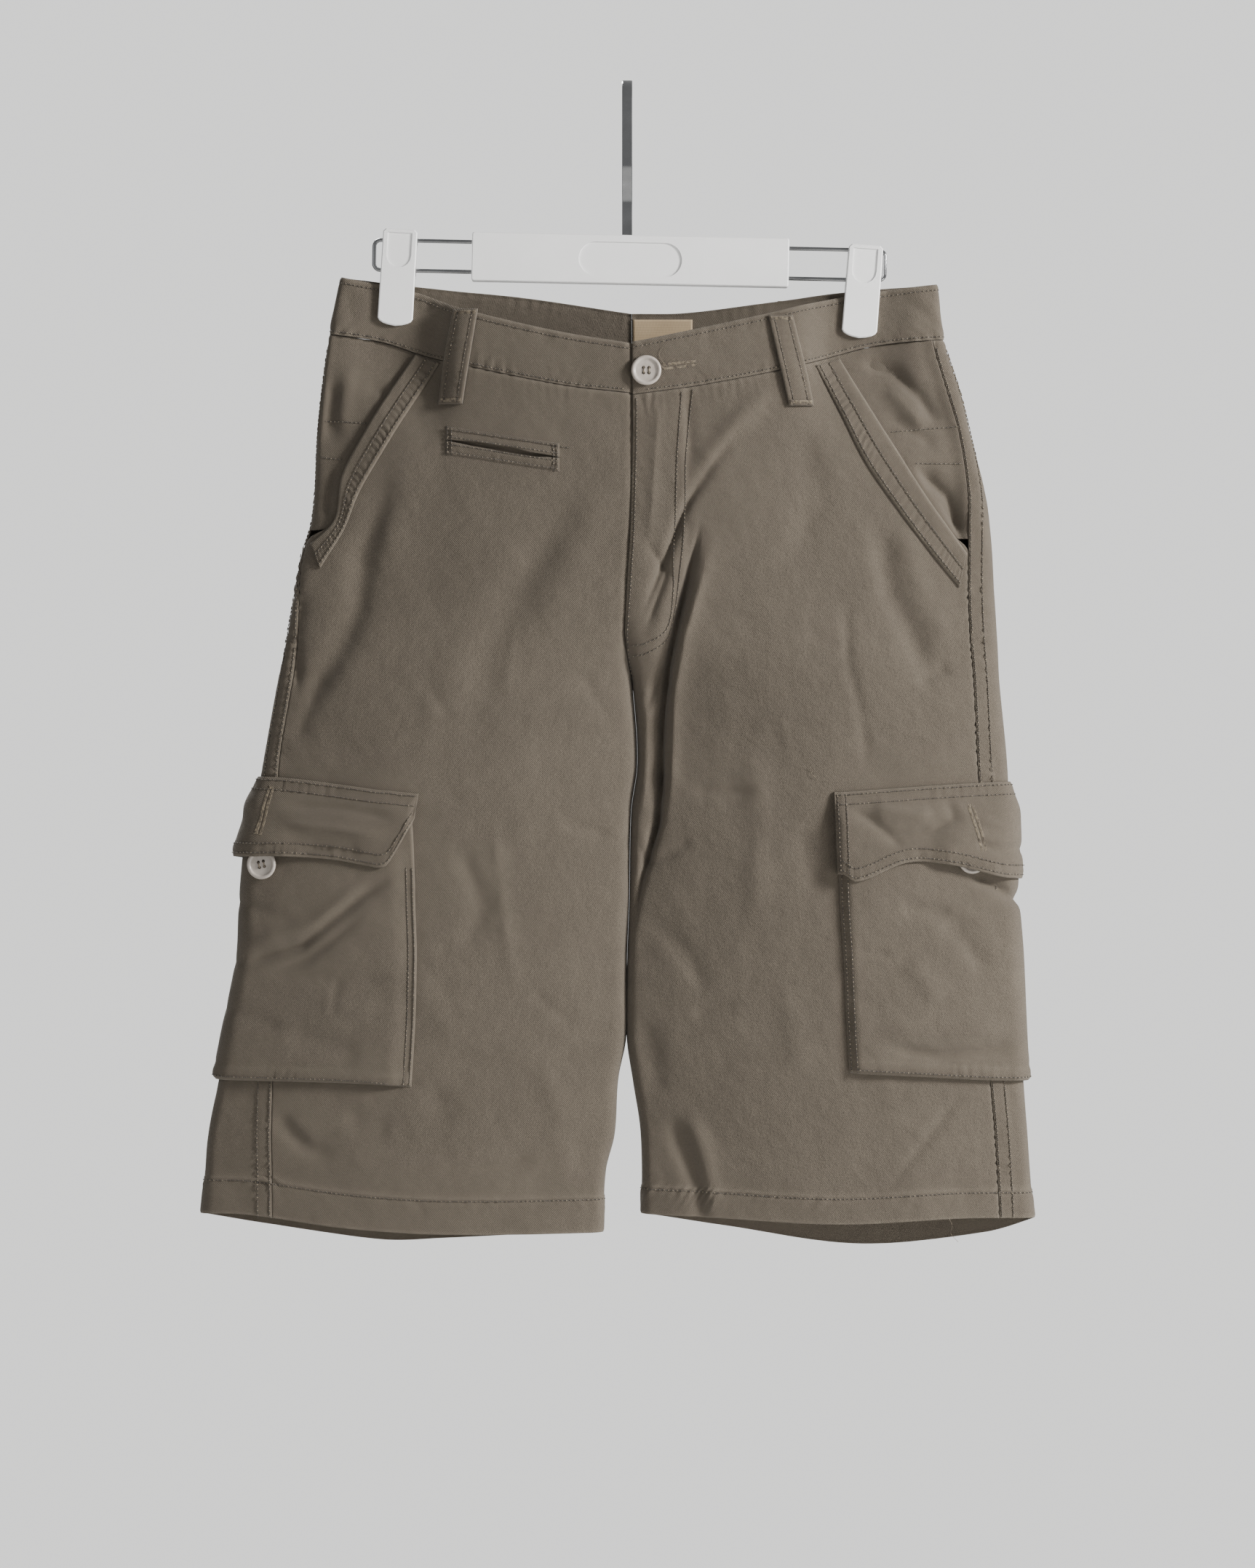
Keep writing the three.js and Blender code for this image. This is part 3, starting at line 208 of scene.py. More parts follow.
# Creases, each a soft ridge or, below nought, a trough: height, half width and route.
CREASES = {
    ("left", "front"): [
        (-2.6, 9, [(-158, -258), (-180, -325), (-184, -362), (-203, -400), (-224, -440)]),
        (1.2, 13, [(-141, -232), (-158, -290), (-170, -340)]),
        (-1.9, 13, [(-30, -280), (-74, -350), (-96, -400), (-107, -470)]),
        (1.0, 14, [(-8, -262), (-38, -330), (-58, -390)]),
        (0.6, 3, [(-76, -372), (-84, -420)]),
        (-0.9, 4, [(-34, -402), (-10, -440)]),
        (-2.4, 4, [(-222, -346), (-227, -380), (-226, -425)]),
        (-1.3, 5, [(-207, -398), (-228, -458)]),
        (1.1, 4, [(-92, -500), (-86, -560), (-77, -625)]),
        (-1.3, 6, [(-118, -515), (-98, -565), (-114, -604)]),
        (-0.9, 5, [(-68, -622), (-52, -634), (-34, -648)]),
        (-1.3, 4, [(-48, -508), (-9, -516)]),
        (-1.9, 6, [(-243, -706), (-222, -728), (-198, -738)]),
        (-1.5, 9, [(-134, -688), (-120, -714)]),
        (-1.3, 9, [(-194, -709), (-160, -719)]),
        (-1.0, 5, [(-108, -743), (-86, -744), (-64, -734)]),
        (0.9, 8, [(-60, -660), (-44, -720), (-40, -770)]),
        (0.7, 6, [(-132, -420), (-138, -470)]),
        (-0.6, 4, [(-140, -405), (-120, -440)]),
        (0.8, 10, [(-150, -600), (-120, -660)]),
    ],
    ("right", "front"): [
        (-3.2, 2.8, [(82, -234), (58, -264), (40, -292), (26, -328), (8, -372)]),
        (2.2, 7, [(100, -208), (70, -240), (44, -276)]),
        (-1.3, 5, [(40, -214), (45, -266)]),
        (-7.4, 2.4, [
            (52, -296), (42, -340), (33, -378), (27, -405), (23, -440), (22, -485), (20, -508), (8, -553),
            (2, -592),
        ]),
        (-2.0, 6, [(46, -300), (30, -370), (21, -420), (18, -490), (12, -530)]),
        (2.0, 5, [(62, -300), (50, -345), (40, -380), (33, -420), (31, -480), (28, -515)]),
        (1.4, 5, [(13, -400), (14, -440), (13, -480), (10, -510)]),
        (-1.6, 2.4, [(25, -398), (20, -414), (12, -432)]),
        (-1.3, 2.2, [(6, -522), (14, -534), (16, -540)]),
        (-1.1, 10, [(118, -232), (129, -282), (114, -340)]),
        (-1.3, 3, [(149, -345), (150, -397), (161, -437), (164, -480)]),
        (-2.3, 8, [(168, -296), (181, -352), (194, -378), (210, -414)]),
        (-1.5, 5, [(197, -414), (222, -400)]),
        (1.2, 8, [(186, -300), (200, -350), (222, -390)]),
        (-0.6, 4, [(52, -356), (96, -378)]),
        (-1.5, 4, [(42, -486), (92, -488)]),
        (-1.3, 4, [(12, -540), (28, -530), (46, -519)]),
        (-1.2, 7, [(12, -570), (44, -602), (56, -630)]),
        (-1.1, 5, [(42, -640), (60, -634), (78, -633)]),
        (-2.1, 6, [(26, -706), (38, -730), (48, -757), (50, -790)]),
        (1.6, 6, [(40, -700), (54, -736), (62, -780)]),
        (-1.0, 3, [(231, -690), (199, -732), (174, -764)]),
        (-1.3, 9, [(118, -508), (130, -560)]),
        (-1.1, 9, [(12, -640), (22, -700)]),
        (0.9, 9, [(84, -440), (90, -520), (84, -600)]),
        (0.8, 3, [(104, -430), (112, -470)]),
        (1.0, 4, [(22, -214), (15, -318)]),
        (-2.4, 3.4, [(12, -314), (27, -338), (12, -378)]),
        (-0.7, 4, [(120, -380), (146, -388)]),
        (0.9, 9, [(104, -600), (120, -690)]),
    ],
    ("left", "back"): [
        (-2.6, 5, [(-10, -400), (-22, -450), (-26, -520), (-18, -580)]),
        (-2.1, 10, [(-60, -250), (-96, -330), (-104, -400)]),
        (1.6, 9, [(-30, -240), (-58, -310), (-84, -390)]),
        (-1.6, 5, [(-150, -230), (-180, -300), (-206, -380)]),
        (-1.4, 4, [(-40, -420), (-80, -436)]),
        (-1.3, 5, [(-100, -520), (-130, -560), (-124, -610)]),
        (1.0, 5, [(-70, -540), (-64, -630)]),
        (-1.8, 6, [(-120, -690), (-96, -730), (-92, -780)]),
        (-1.1, 4, [(-180, -700), (-214, -736)]),
        (-1.2, 5, [(-44, -640), (-70, -662)]),
    ],
    ("right", "back"): [
        (-2.8, 5, [(12, -402), (26, -460), (28, -520), (16, -590)]),
        (-2.0, 11, [(52, -246), (80, -330), (98, -410)]),
        (1.5, 9, [(26, -250), (46, -320), (74, -400)]),
        (-1.7, 5, [(140, -236), (176, -310), (196, -390)]),
        (-1.3, 4, [(36, -428), (84, -440)]),
        (-1.4, 5, [(104, -530), (132, -570), (120, -624)]),
        (1.1, 5, [(66, -520), (72, -640)]),
        (-1.9, 6, [(140, -680), (112, -726), (110, -780)]),
        (-1.0, 4, [(190, -700), (226, -728)]),
        (-1.2, 5, [(48, -650), (84, -668)]),
    ],
    "facing_left": [
        (-0.9, 2.5, [(-180, -208), (-162, -212)]),
        (-1.4, 7, [(-200, -200), (-206, -250)]),
        (1.0, 6, [(-190, -190), (-198, -240)]),
        (-1.2, 6, [(-196, -262), (-208, -300)]),
    ],
    "facing_right": [
        (-2.4, 5, [(157, -190), (181, -197), (200, -215), (216, -238)]),
        (1.4, 5, [(176, -208), (206, -240)]),
        (-3.4, 5, [(196, -262), (220, -284), (229, -318)]),
        (-1.0, 4, [(176, -226), (214, -252)]),
    ],
    "pocket_left": [
        (-1.9, 3.4, [(-274, -608), (-221, -591), (-184, -561), (-154, -541)]),
        (1.2, 5, [(-262, -590), (-214, -578), (-176, -548)]),
        (-0.9, 3, [(-246, -612), (-216, -600), (-178, -570)]),
        (-0.6, 4, [(-272, -560), (-222, -577)]),
        (-0.7, 5, [(-250, -612), (-152, -616)]),
        (-0.9, 9, [(-234, -652), (-178, -666)]),
        (-0.6, 5, [(-276, -634), (-232, -650)]),
        (0.8, 8, [(-210, -630), (-168, -636)]),
        (-0.7, 3, [(-196, -612), (-200, -640)]),
    ],
    "pocket_right": [
        (-2.3, 4, [(232, -540), (252, -552), (272, -566)]),
        (-0.6, 3, [(150, -594), (180, -598)]),
        (-0.9, 6, [(182, -564), (214, -570), (240, -584)]),
        (-0.9, 6, [(212, -576), (232, -592), (246, -612)]),
        (-1.5, 4, [(172, -661), (212, -667), (240, -665), (272, -659)]),
        (0.8, 7, [(170, -648), (262, -648)]),
        (-0.4, 4, [(152, -627), (176, -634)]),
        (0.7, 8, [(190, -600), (214, -632)]),
    ],
    "flap_left": [
        (-1.4, 4, [(-238, -496), (-196, -498), (-152, -506)]),
        (1.2, 4.5, [(-240, -508), (-198, -512), (-160, -518)]),
        (-1.1, 4, [(-264, -500), (-262, -526)]),
        (-0.8, 4, [(-222, -526), (-176, -528)]),
    ],
    "flap_right": [
        (-1.0, 3.4, [(150, -498), (168, -508), (190, -527)]),
        (-1.2, 3.4, [(172, -521), (206, -514), (221, -506), (217, -486)]),
        (1.4, 5, [(164, -498), (196, -502), (208, -498)]),
        (-1.3, 4, [(234, -520), (252, -527), (270, -527)]),
        (0.9, 4, [(238, -506), (262, -512)]),
    ],
    "band": [
        (-1.1, 4, [(183, -146), (202, -156), (215, -173)]),
        (-1.0, 4, [(-192, -140), (-187, -174)]),
        (0.8, 5, [(196, -142), (212, -160)]),
        (-0.7, 6, [(-64, -168), (-40, -196)]),
        (-0.6, 6, [(52, -172), (66, -200)]),
    ],
}


def clamp(value, low, high):
    return np.minimum(high, np.maximum(low, value))


def mix(a, b, share):
    return a + (b - a) * share


def soft(share):
    """A share from 0 to 1 that starts and ends level."""
    share = clamp(share, 0.0, 1.0)
    return share * share * (3.0 - 2.0 * share)


def bell(distance, reach):
    """A rounded hump: one at no distance, and all but gone at twice its reach."""
    return np.exp(-((distance / reach) ** 2))


def read(table, at):
    """The columns of a table at values of its first column, along soft curves between its rows."""
    names, rows = table
    names = names.split()
    values = np.array(rows, float)
    if values[0, 0] > values[-1, 0]:
        values = values[::-1]
    key = values[:, 0]
    at = clamp(np.asarray(at, float), key[0], key[-1])
    i = clamp(np.searchsorted(key, at, side="right") - 1, 0, len(key) - 2)
    span = key[i + 1] - key[i]
    t = (at - key[i]) / span
    before = clamp(i - 1, 0, len(key) - 1)
    after = clamp(i + 2, 0, len(key) - 1)
    found = {}
    for column, name in enumerate(names[1:], 1):
        v = values[:, column]
        a, b = v[i], v[i + 1]
        rise = (b - v[before]) / (key[i + 1] - key[before]) * span
        fall = (v[after] - a) / (key[after] - key[i]) * span
        found[name] = (
            a + t * rise + t * t * (3 * (b - a) - 2 * rise - fall)
            + t ** 3 * (2 * (a - b) + rise + fall)
        )
    return found


def lens_sizes(half, depth, edge):
    """A flat lens with rounded edges: its broad radius, its turn, and the lengths of its arcs."""
    broad = ((half - edge) ** 2 + depth ** 2 - edge ** 2) / (2 * (depth - edge))
    turn = np.arctan2(half - edge, broad - depth)
    corner = edge * (math.pi / 2 - turn)
    return broad, turn, corner, corner + broad * turn


def lens(half, depth, edge, length):
    """How far out from the lens's middle, and how deep, the cloth lies at a length from its edge."""
    broad, turn, corner, quarter = lens_sizes(half, depth, edge)
    far = length > quarter
    near = np.where(far, 2 * quarter - length, length)
    on_edge = near < corner
    angle = np.where(on_edge, near / edge, turn - (near - corner) / broad)
    out = np.where(on_edge, half - edge + edge * np.cos(angle), broad * np.sin(angle))
    deep = np.where(on_edge, edge * np.sin(angle), depth - broad + broad * np.cos(angle))
    return np.where(far, -out, out), deep


def cloth_length(side, face, z):
    """The cloth's length from the side edge to the middle of the body, or to the leg's inseam."""
    s = read(SECTIONS[side], z)
    body = lens_sizes(s["outer"] - s["inner"], s[face], s["edge"])[3]
    leg = 2 * lens_sizes((s["outer"] - s["inner"]) / 2, s[face], s["edge"])[3]
    return mix(body, leg, clamp(s["leg"], 0.0, 1.0))


def one_face(side, face, length, z):
    """How far out and how deep one face lies, from tube above to leg below."""
    s = read(SECTIONS[side], z)
    leg_share = clamp(s["leg"], 0.0, 1.0)
    half = s["outer"] - s["inner"]
    body_quarter = lens_sizes(half, s[face], s["edge"])[3]
    leg_quarter = lens_sizes(half / 2, s[face], s["edge"])[3]
    share = length / mix(body_quarter, 2 * leg_quarter, leg_share)
    body_out, body_deep = lens(half, s[face], s["edge"], share * body_quarter)
    leg_out, leg_deep = lens(half / 2, s[face], s["edge"], share * 2 * leg_quarter)
    out = mix(s["inner"] + body_out, (s["outer"] + s["inner"]) / 2 + leg_out, leg_share)
    deep = mix(body_deep, leg_deep, leg_share)
    pinch = np.exp(-(((out - CLIP_OUT[side]) / PINCH_REACH) ** 4))
    pinch = pinch * soft((z - PINCH_GONE) / (PINCH_FULL - PINCH_GONE))
    return out, mix(deep, PINCH_DEPTH, pinch)


def face_point(side, length, z):
    """The smooth cloth's face at a length in front of the side edge or, below nought, behind it."""
    length, z = np.broadcast_arrays(np.asarray(length, float), np.asarray(z, float))
    front_out, front_deep = one_face(side, "front", np.abs(length), z)
    back_out, back_deep = one_face(side, "back", np.abs(length), z)
    ahead = length >= 0
    out = np.where(ahead, front_out, back_out)
    deep = np.where(ahead, -front_deep, back_deep)
    return np.stack([SIGN[side] * out, deep, z], axis=-1)


def face_normal(side, length, z, step=0.5):
    """The way out of the smooth cloth at a place on it."""
    along = face_point(side, length + step, z) - face_point(side, length - step, z)
    up = face_point(side, length, z + step) - face_point(side, length, z - step)
    normal = np.cross(along, up) * -SIGN[side]
    return normal / np.linalg.norm(normal, axis=-1, keepdims=True)


def lattice(i, j, seed):
    """A value from 0 to 1 for each point of a grid, always the same one."""
    value = np.sin(i * 127.1 + j * 311.7 + seed * 74.7) * 43758.5453
    return value - np.floor(value)


def ripple(x, z, wide, tall, seed):
    """Smooth unevenness from -0.5 to 0.5 with lumps of about the given width and height."""
    u, v = x / wide, z / tall
    i, j = np.floor(u), np.floor(v)
    s, t = soft(u - i), soft(v - j)
    low = mix(lattice(i, j, seed), lattice(i + 1, j, seed), s)
    high = mix(lattice(i, j + 1, seed), lattice(i + 1, j + 1, seed), s)
    return mix(low, high, t) - 0.5


def crease_height(creases, x, z):
    """The height at a place of all creases, each a rounded fold along its path."""
    total = np.zeros(np.shape(x))
    for height, reach, path in creases:
        path = np.array(path, float)
        room = 3.0 * reach
        near = (
            (x > path[:, 0].min() - room) & (x < path[:, 0].max() + room)
            & (z > path[:, 1].min() - room) & (z < path[:, 1].max() + room)
        )
        if not near.any():
            continue
        px, pz = x[near], z[near]
        runs = np.diff(path, axis=0)
        sizes = np.hypot(runs[:, 0], runs[:, 1])
        best = np.full(px.shape, 1e9)
        share = np.zeros(px.shape)
        before = 0.0
        for (ax, az), (rx, rz), size in zip(path[:-1], runs, sizes):
            t = clamp(((px - ax) * rx + (pz - az) * rz) / size ** 2, 0.0, 1.0)
            away = np.hypot(px - ax - t * rx, pz - az - t * rz)
            closer = away < best
            best = np.where(closer, away, best)
            share = np.where(closer, (before + t * size) / sizes.sum(), share)
            before += size
        taper = soft(share / 0.25) * soft((1.0 - share) / 0.25)
        worn = height * (0.75 + 0.5 * (ripple(px, pz, 21.0, 17.0, 41.0) + 0.5))
        total[near] += worn * taper * np.exp(-((best / reach) ** (2.0 if reach >= 6 else 1.3)))
    return total


def relief(side, length, z):
    """The height of creases and drape above the smooth cloth, none at the folded edges."""
    point = face_point(side, length, z)
    x = point[..., 0]
    total = np.zeros(x.shape)
    for face, here in (("front", length >= 0), ("back", length < 0)):
        total += CREASE_GAIN * np.where(here, crease_height(CREASES[side, face], x, z), 0.0)
    total += 1.0 * ripple(x, z, 34.0, 80.0, 3.0) + 0.6 * ripple(x + 0.3 * z, z, 15.0, 27.0, 5.0)
    total += 0.26 * ripple(x + 0.4 * z, z, 6.0, 9.0, 8.0)
    s = read(SECTIONS[side], z)
    whole = np.where(length >= 0, cloth_length(side, "front", z), cloth_length(side, "back", z))
    leg_share = clamp(s["leg"], 0.0, 1.0)
    outer = mix(0.1, 1.0, soft(np.abs(length) / 18.0))
    inner = mix(1.0, soft((whole - np.abs(length)) / 12.0), leg_share)
    return total * outer * inner * soft((-172.0 - z) / 30.0 + 0.35)


def cloth_point(side, length, z, lift=0.0):
    """A point on the creased cloth, moved out of its face by a lift."""
    length, z, lift = np.broadcast_arrays(
        np.asarray(length, float), np.asarray(z, float), np.asarray(lift, float)
    )
    height = lift + relief(side, length, z)
    return face_point(side, length, z) + face_normal(side, length, z) * height[..., None]


def length_at(side, face, out, z):
    """The length along the cloth at which front or back lies a given way out from the middle."""
    out, z = np.broadcast_arrays(np.asarray(out, float), np.asarray(z, float))
    way = 1.0 if face == "front" else -1.0
    near, far = np.zeros(out.shape), cloth_length(side, face, z)
    for _ in range(30):
        middle = (near + far) / 2
        beyond = SIGN[side] * face_point(side, way * middle, z)[..., 0] > out
        near, far = np.where(beyond, middle, near), np.where(beyond, far, middle)
    return way * near


def edge_height(edges, side, length):
    """The height of an edge that runs across, at a length along the cloth."""
    length = np.asarray(length, float)
    heights = {}
    for face in ("front", "back"):
        z = np.full(length.shape, float(edges[side, face][1][0][1]))
        for _ in range(4):
            z = read(edges[side, face], np.abs(length) / cloth_length(side, face, z))["z"]
        heights[face] = z
    return np.where(length >= 0, heights["front"], heights["back"])


# Lengths in from a border, close together there, so that a rolled edge and its stitching have room.
BORDER = np.array([0.0, 0.7, 1.5, 2.6, 4.2, 6.5, 9.0])


def spaced(span, step, hem=0.0):
    """Shares from 0 to 1 along a span, at about one step, and closer near both ends and a hem."""
    plain = np.linspace(BORDER[-1], span - BORDER[-1], max(3, int((span - 2 * BORDER[-1]) / step)))
    stops = np.concatenate([BORDER, plain, span - BORDER])
    if hem:
        stops = np.concatenate([stops, span - hem + np.array([-2.4, -1.2, -0.4, 0.4, 1.2, 2.4])])
    return np.unique(np.round(stops, 2)) / span


def settle(across, down, first, last, top, bottom):
    """Lengths and heights of a net whose borders depend on each other, found by a few passes."""
    share_across, share_down = np.meshgrid(across, down, indexing="ij")
    z = mix(-190.0, -760.0, share_down)
    for _ in range(7):
        length = mix(first(z), last(z), share_across)
        z = mix(top(length), bottom(length), share_down)
    return length, z


HEIGHTS = np.linspace(-812.0, -125.0, 1375)


def slant_out(side, z):
    """How far out a slant pocket's mouth lies at a height."""
    rows = [(row[2], row[1]) for row in SLANT[side][1]]
    return read(("z out", rows), z)["out"]


MOUTH_LENGTHS = {side: length_at(side, "front", slant_out(side, HEIGHTS), HEIGHTS) for side in SIDES}


def seam_length(side, z):
    """The length along the cloth at which the side seam runs."""
    return read(SECTIONS[side], z)["seam"]


def front_start(side, z):
    """The front's border towards the side: the pocket's mouth above, the side seam below it."""
    seam = seam_length(side, z)
    mouth = np.interp(z, HEIGHTS, MOUTH_LENGTHS[side])
    return mix(seam, np.maximum(seam, mouth), soft((z - SLANT_END[side]) / 12.0))


def rolled(distance, drop=0.55, width=1.0):
    """How far cloth turns down at a sewn border, by the distance from it."""
    return -drop * bell(distance, width)


def roping(along, away, reach, pitch, height, seed):
    """Puckers across a seam that die out away from it, uneven in size."""
    size = 0.15 + 1.6 * (ripple(along, along * 0 + seed, 2.3 * pitch, 5.0, seed) + 0.5) ** 1.4
    wave = np.sin(2 * np.pi * (along / pitch + 1.5 * ripple(along, away, 3 * pitch, 12.0, seed + 2)))
    return height * size * wave * bell(away, reach)


def body_share(z):
    """One above the crotch, where left and right are one tube, and nought on the legs."""
    return soft((z + 396.0) / 14.0)


def tucked(side, z, length, drop):
    """How far the left half sinks under the right one, where it runs on past the middle."""
    past = length - cloth_length(side, "front", z) + 3.0
    return -drop * soft(past / 3.0) * body_share(z) if side == "left" else 0.0 * z


def placed(name, mesh):
    """An object at the origin that shows a mesh, a lamp or a camera."""
    made = bpy.data.objects.new(name, mesh)
    bpy.context.scene.collection.objects.link(made)
    return made


def smooth(mesh, sharp=None):
    """Shade a mesh smoothly, but for edges sharper than an angle in degrees, if one is given."""
    mesh.polygons.foreach_set("use_smooth", np.full(len(mesh.polygons), True))
    if sharp:
        mesh.set_sharp_from_angle(angle=math.radians(sharp))


def stand_for(made, node):
    """Let an object ride on the body, in the place of a node, whose own part is hidden."""
    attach(made, "root")
    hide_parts(node)


def closed_mesh(name, vertices, faces):
    """A smooth mesh in metres from points in millimetres, with its faces turned outward."""
    mesh = bpy.data.meshes.new(name)
    mesh.from_pydata((vertices * MM).tolist(), [], faces)
    shape = bmesh.new()
    shape.from_mesh(mesh)
    bmesh.ops.recalc_face_normals(shape, faces=shape.faces)
    shape.to_mesh(mesh)
    shape.free()
    smooth(mesh)
    return mesh


def cloth_object(name, vertices, faces, material, uv, wear):
    """A cloth mesh with its flat map and its wear."""
    mesh = closed_mesh(name, vertices, faces.tolist())
    corners = np.zeros(len(mesh.loops), np.int32)
    mesh.loops.foreach_get("vertex_index", corners)
    layer = mesh.uv_layers.new(name="cloth")
    layer.data.foreach_set("uv", (np.asarray(uv, np.float32) * MM)[corners].ravel())
    layer = mesh.attributes.new("wear", "FLOAT", "POINT")
    layer.data.foreach_set("value", np.asarray(wear, np.float32).ravel())
    mesh.materials.append(material)
    return placed(name, mesh)


def shell(name, outer, inner, material, u, v, wear):
    """A thin closed shell between two nets of points."""
    columns, rows = outer.shape[:2]
    count = columns * rows
    index = np.arange(count).reshape(columns, rows)
    a, b, c, d = index[:-1, :-1], index[1:, :-1], index[1:, 1:], index[:-1, 1:]
    outside = np.stack([a, b, c, d], -1).reshape(-1, 4)
    inside = outside[:, ::-1] + count
    ring = np.concatenate([index[:, 0], index[-1, 1:], index[-2::-1, -1], index[0, -2:0:-1]])
    after = np.roll(ring, -1)
    border = np.stack([after, ring, ring + count, after + count], -1)
    points = np.concatenate([outer.reshape(-1, 3), inner.reshape(-1, 3)])
    uv = np.stack([np.tile(u.ravel(), 2), np.tile(v.ravel(), 2)], -1)
    both = np.concatenate([np.asarray(wear).ravel(), np.asarray(wear).ravel() * 0.4])
    faces = np.concatenate([outside, inside, border])
    return cloth_object(name, points, faces, material, uv, both)


def net_size(net):
    """The width, length and area of a net laid flat, in metres."""
    wide = np.linalg.norm(np.diff(net, axis=0), axis=-1).sum(0).max() * MM
    tall = np.linalg.norm(np.diff(net, axis=1), axis=-1).sum(1).max() * MM
    one = np.cross(net[1:, :-1] - net[:-1, :-1], net[:-1, 1:] - net[:-1, :-1])
    two = np.cross(net[1:, 1:] - net[1:, :-1], net[1:, 1:] - net[:-1, 1:])
    area = 0.5 * (np.linalg.norm(one, axis=-1).sum() + np.linalg.norm(two, axis=-1).sum()) * MM * MM
    return wide, tall, area


def cloth_piece(node, side, length, z, lift, thick, wear, *rests_on):
    """A twill piece as a shell on the creased cloth, in the place of its node."""
    outer = cloth_point(side, length, z, lift)
    inner = cloth_point(side, length, z, lift - thick)
    made = shell("cloth_" + node, outer, inner, made_material("twill"), length, z, wear)
    declare_cloth(made, node, net_size((outer + inner) / 2))


def declare_cloth(made, node, size):
    """Put a cloth on the body in the place of its node; the size it was cut in is worked out but not used.
    """
    wide, tall, area = size
    wide, tall = max(wide, 0.0101), max(tall, 0.0101)
    stand_for(made, node)
    min(area, wide * tall)


class Shade:
    """A socket of a node tree, with ordinary arithmetic on the number that it carries."""

    def __init__(self, tree, socket=None):
        self.tree = tree
        self.socket = socket

    def node(self, kind, settings=None, inputs=None, output=0):
        made = self.tree.nodes.new(kind)
        for name, value in (settings or {}).items():
            setattr(made, name, value)
        for name, value in (inputs or {}).items():
            self.plug(made.inputs[name], value)
        return Shade(self.tree, made.outputs[output])

    def plug(self, socket, value):
        if isinstance(value, Shade):
            self.tree.links.new(value.socket, socket)
        else:
            socket.default_value = value

    def math(self, operation, *values, clamped=False):
        settings = {"operation": operation, "use_clamp": clamped}
        return self.node("ShaderNodeMath", settings, dict(enumerate(values)))

    def __add__(self, other):
        return self.math("ADD", self, other)

    __radd__ = __add__

    def __sub__(self, other):
        return self.math("SUBTRACT", self, other)

    def __rsub__(self, other):
        return self.math("SUBTRACT", other, self)

    def __mul__(self, other):
        return self.math("MULTIPLY", self, other)

    __rmul__ = __mul__

    def __truediv__(self, other):
        return self.math("DIVIDE", self, other)

    def __rtruediv__(self, other):
        return self.math("DIVIDE", other, self)

    def sine(self):
        return self.math("SINE", self)

    def absolute(self):
        return self.math("ABSOLUTE", self)

    def held(self):
        """The number kept between 0 and 1."""
        return self.math("ADD", self, 0.0, clamped=True)

    def blend(self, factor, first, second, kind="MIX"):
        settings = {"data_type": "RGBA", "blend_type": kind}
        return self.node("ShaderNodeMix", settings, {0: factor, 6: first, 7: second}, output=2)

    def noise(self, where, scale, detail=2.0, rough=0.5):
        inputs = {"Vector": where, "Scale": scale, "Detail": detail, "Roughness": rough}
        return self.node("ShaderNodeTexNoise", inputs=inputs)

    def bump(self, height, strength, distance):
        inputs = {"Height": height, "Strength": strength, "Distance": distance}
        return self.node("ShaderNodeBump", inputs=inputs)


def colour(red, green, blue):
    """A colour from its eight-bit screen values."""
    channels = [value / 255 for value in (red, green, blue)]
    linear = [c / 12.92 if c <= 0.04045 else ((c + 0.055) / 1.055) ** 2.4 for c in channels]
    return (*linear, 1.0)


def new_material(name, **constants):
    """A material with its shader's plain settings, and the tree that its changing ones are drawn in."""
    material = bpy.data.materials.new(name)
    material.use_nodes = True
    shader = material.node_tree.nodes["Principled BSDF"]
    for socket, value in constants.items():
        shader.inputs[socket.replace("_", " ")].default_value = value
    return material, shader, Shade(material.node_tree)


def paint(shader, shade, **varying):
    """Plug what varies over the surface into a shader."""
    for socket, value in varying.items():
        shade.plug(shader.inputs[socket.replace("_", " ")], value)


def woven_places(shade):
    """The places on a cloth's own flat map, and the two coordinates of them."""
    place = shade.node("ShaderNodeTexCoord", output="UV")
    split = shade.tree.nodes.new("ShaderNodeSeparateXYZ")
    shade.plug(split.inputs[0], place)
    return place, Shade(shade.tree, split.outputs[0]), Shade(shade.tree, split.outputs[1])


